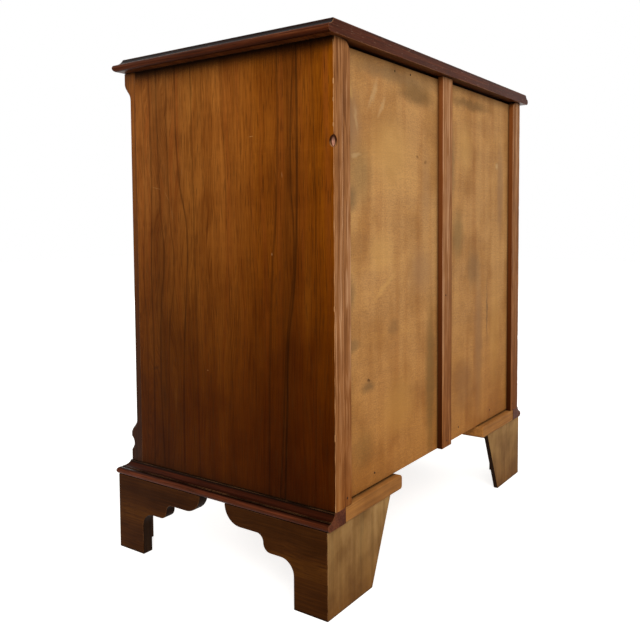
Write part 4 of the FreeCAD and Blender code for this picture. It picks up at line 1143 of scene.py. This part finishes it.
class CHEST_OT_handles(bpy.types.Operator):
    """Make the swan-necked handles on their turned posts, and the keyholes"""

    bl_idname = "chest.handles"
    bl_label = "Handles"

    def execute(self, context):
        metal = brass("aged brass handles", 7.0)
        iron = rusty_iron("dark iron nuts", 12.0)
        hollow = rusty_iron("dark keyholes", 13.0)
        spots = [side * HANDLE_PLACE + end * POST_PLACE for _, side in SIDES for _, end in SIDES]
        for number in DRAWERS:
            drawer = f"drawer_{number}"
            node = drawer + "_handle_posts"
            low, high = ends(node)
            z, front = (low[2] + high[2]) / 2, high[1]
            _, (_, back, top) = ends(drawer + "_front")
            key = (0, front, top - KEY_DROP)
            piece(drawer + "_key_bush", [moved(key_bush(), key)], metal, node, replaces=False)
            piece(drawer + "_keyhole", [moved(key_slot(), key)], hollow, node, replaces=False)
            for name, side in SIDES:
                rod = moved(bail(), (side * HANDLE_PLACE, front - PIN_REACH, z))
                piece(f"{drawer}_swan_neck_{name}", [rod], metal, f"{drawer}_bail_{name}")
            posts = [moved(handle_post(), (x, front, z)) for x in spots]
            piece(drawer + "_turned_posts", posts, metal, node)
            nuts = [moved(part, (x, back, z)) for x in spots for part in nut()]
            piece(drawer + "_handle_nuts", nuts, iron, node, replaces=False)
        return {"FINISHED"}


# ---------- the stage
SOFTBOX = 2.4  # width of the lamps in metres
AIM = Vector((0, 0, 0.4))  # the middle of the chest


class CHEST_OT_stage(bpy.types.Operator):
    """Set the pale floor, soft lamps and the camera"""

    bl_idname = "chest.stage"
    bl_label = "Stage"

    def execute(self, context):
        scene, studio = context.scene, context.scene.chest_studio
        mesh = bpy.data.meshes.new("studio_floor")
        far = 9  # metres from the middle to the floor's edges
        corners = [(-far, -far, 0), (far, -far, 0), (far, far, 0), (-far, far, 0)]
        mesh.from_pydata(corners, [], [(0, 1, 2, 3)])
        floor = bpy.data.objects.new("studio_floor", mesh)
        scene.collection.objects.link(floor)
        mesh.materials.append(self.floor_paint())
        scene.world = self.sky(studio.sky)
        lamps = (("key", studio.key, (2.6, 2.2, 2.3)), ("fill", studio.fill, (-2.4, -2.8, 2.2)))
        for name, power, place in lamps:
            lamp = bpy.data.lights.new(name + "_softbox", "AREA")
            lamp.energy, lamp.size = power, SOFTBOX
            box = bpy.data.objects.new(name + "_softbox", lamp)
            box.location = place
            aim = AIM - box.location
            box.rotation_euler = aim.to_track_quat("-Z", "Y").to_euler()
            scene.collection.objects.link(box)
        self.camera(scene, studio.focal_length)
        scene.view_settings.view_transform = "Standard"
        return {"FINISHED"}

    def seen(self, add):
        """1 for what the eye, a reflection or a refraction meets, and 0 for light alone."""
        rays = add("LightPath").node.outputs
        total = add("Math", (rays["Is Camera Ray"], rays["Is Glossy Ray"]))
        return add("Math", (total, rays["Is Transmission Ray"]), use_clamp=True)

    def floor_paint(self):
        """Matt white paint that shows the shadow and otherwise melts into the background."""
        material = bpy.data.materials.new("matt white floor")
        add = adder(material)
        matt = add("BsdfDiffuse", {"Color": "#cdcac5"})
        lift = add("Math", (self.seen(add), 0.78), operation="MULTIPLY")
        glow = add("Emission", {"Strength": lift})
        add("OutputMaterial", (add("AddShader", (matt, glow)),))
        return material

    def sky(self, strength):
        """An even white sky that lights less than it shows."""
        world = bpy.data.worlds.new("studio")
        add = adder(world)
        level = add("MapRange", {0: self.seen(add), 3: strength, 4: 1.0})
        light = add("Background", {"Color": "#ffffff", "Strength": level})
        add("OutputWorld", (light,))
        return world

    def camera(self, scene, focal_length):
        """Look at the back and the right side from a little above."""
        lens = bpy.data.cameras.new("camera")
        lens.lens, lens.sensor_width = focal_length, 36
        lens.shift_x, lens.shift_y = 0.0267, -0.0839
        camera = bpy.data.objects.new("camera", lens)
        right = Vector((-0.58496, 0.81103, -0.00774)).normalized()
        ahead = Vector((-0.80953, -0.58441, -0.05582)).normalized()
        turn = Matrix((right, right.cross(ahead), -ahead)).transposed()
        camera.matrix_world = turn.to_4x4()
        camera.location = (1.10826, 0.71, 0.50867)
        scene.collection.objects.link(camera)
        scene.camera = camera


# ---------- the panel
class CHEST_PT_panel(bpy.types.Panel):
    """Buttons for each piece, in the sidebar"""

    bl_label = "Bachelor's chest"
    bl_space_type = "VIEW_3D"
    bl_region_type = "UI"
    bl_category = "Chest"

    def draw(self, context):
        for operator in OPERATORS:
            self.layout.operator(operator.bl_idname)
        for group in GROUPS:
            values = getattr(context.scene, group)
            for name in values.bl_rna.properties.keys():
                if name not in ("rna_type", "name"):
                    self.layout.prop(values, name)


OPERATORS = (
    CHEST_OT_stage,
    CHEST_OT_top,
    CHEST_OT_posts,
    CHEST_OT_case,
    CHEST_OT_back,
    CHEST_OT_base,
    CHEST_OT_feet,
    CHEST_OT_slide,
    CHEST_OT_drawers,
    CHEST_OT_handles,
)
GROUPS = {"chest_tones": ChestTones, "chest_edges": ChestEdges, "chest_studio": ChestStudio}
CLASSES = (*GROUPS.values(), *OPERATORS, CHEST_PT_panel)


def register():
    for thing in CLASSES:
        bpy.utils.register_class(thing)
    for name, group in GROUPS.items():
        setattr(bpy.types.Scene, name, PointerProperty(type=group))


def unregister():
    for name in GROUPS:
        delattr(bpy.types.Scene, name)
    for thing in reversed(CLASSES):
        bpy.utils.unregister_class(thing)


def main():
    register()
    for operator in OPERATORS:
        getattr(bpy.ops.chest, operator.bl_idname.split(".")[1])()


if __name__ == "__main__":
    main()
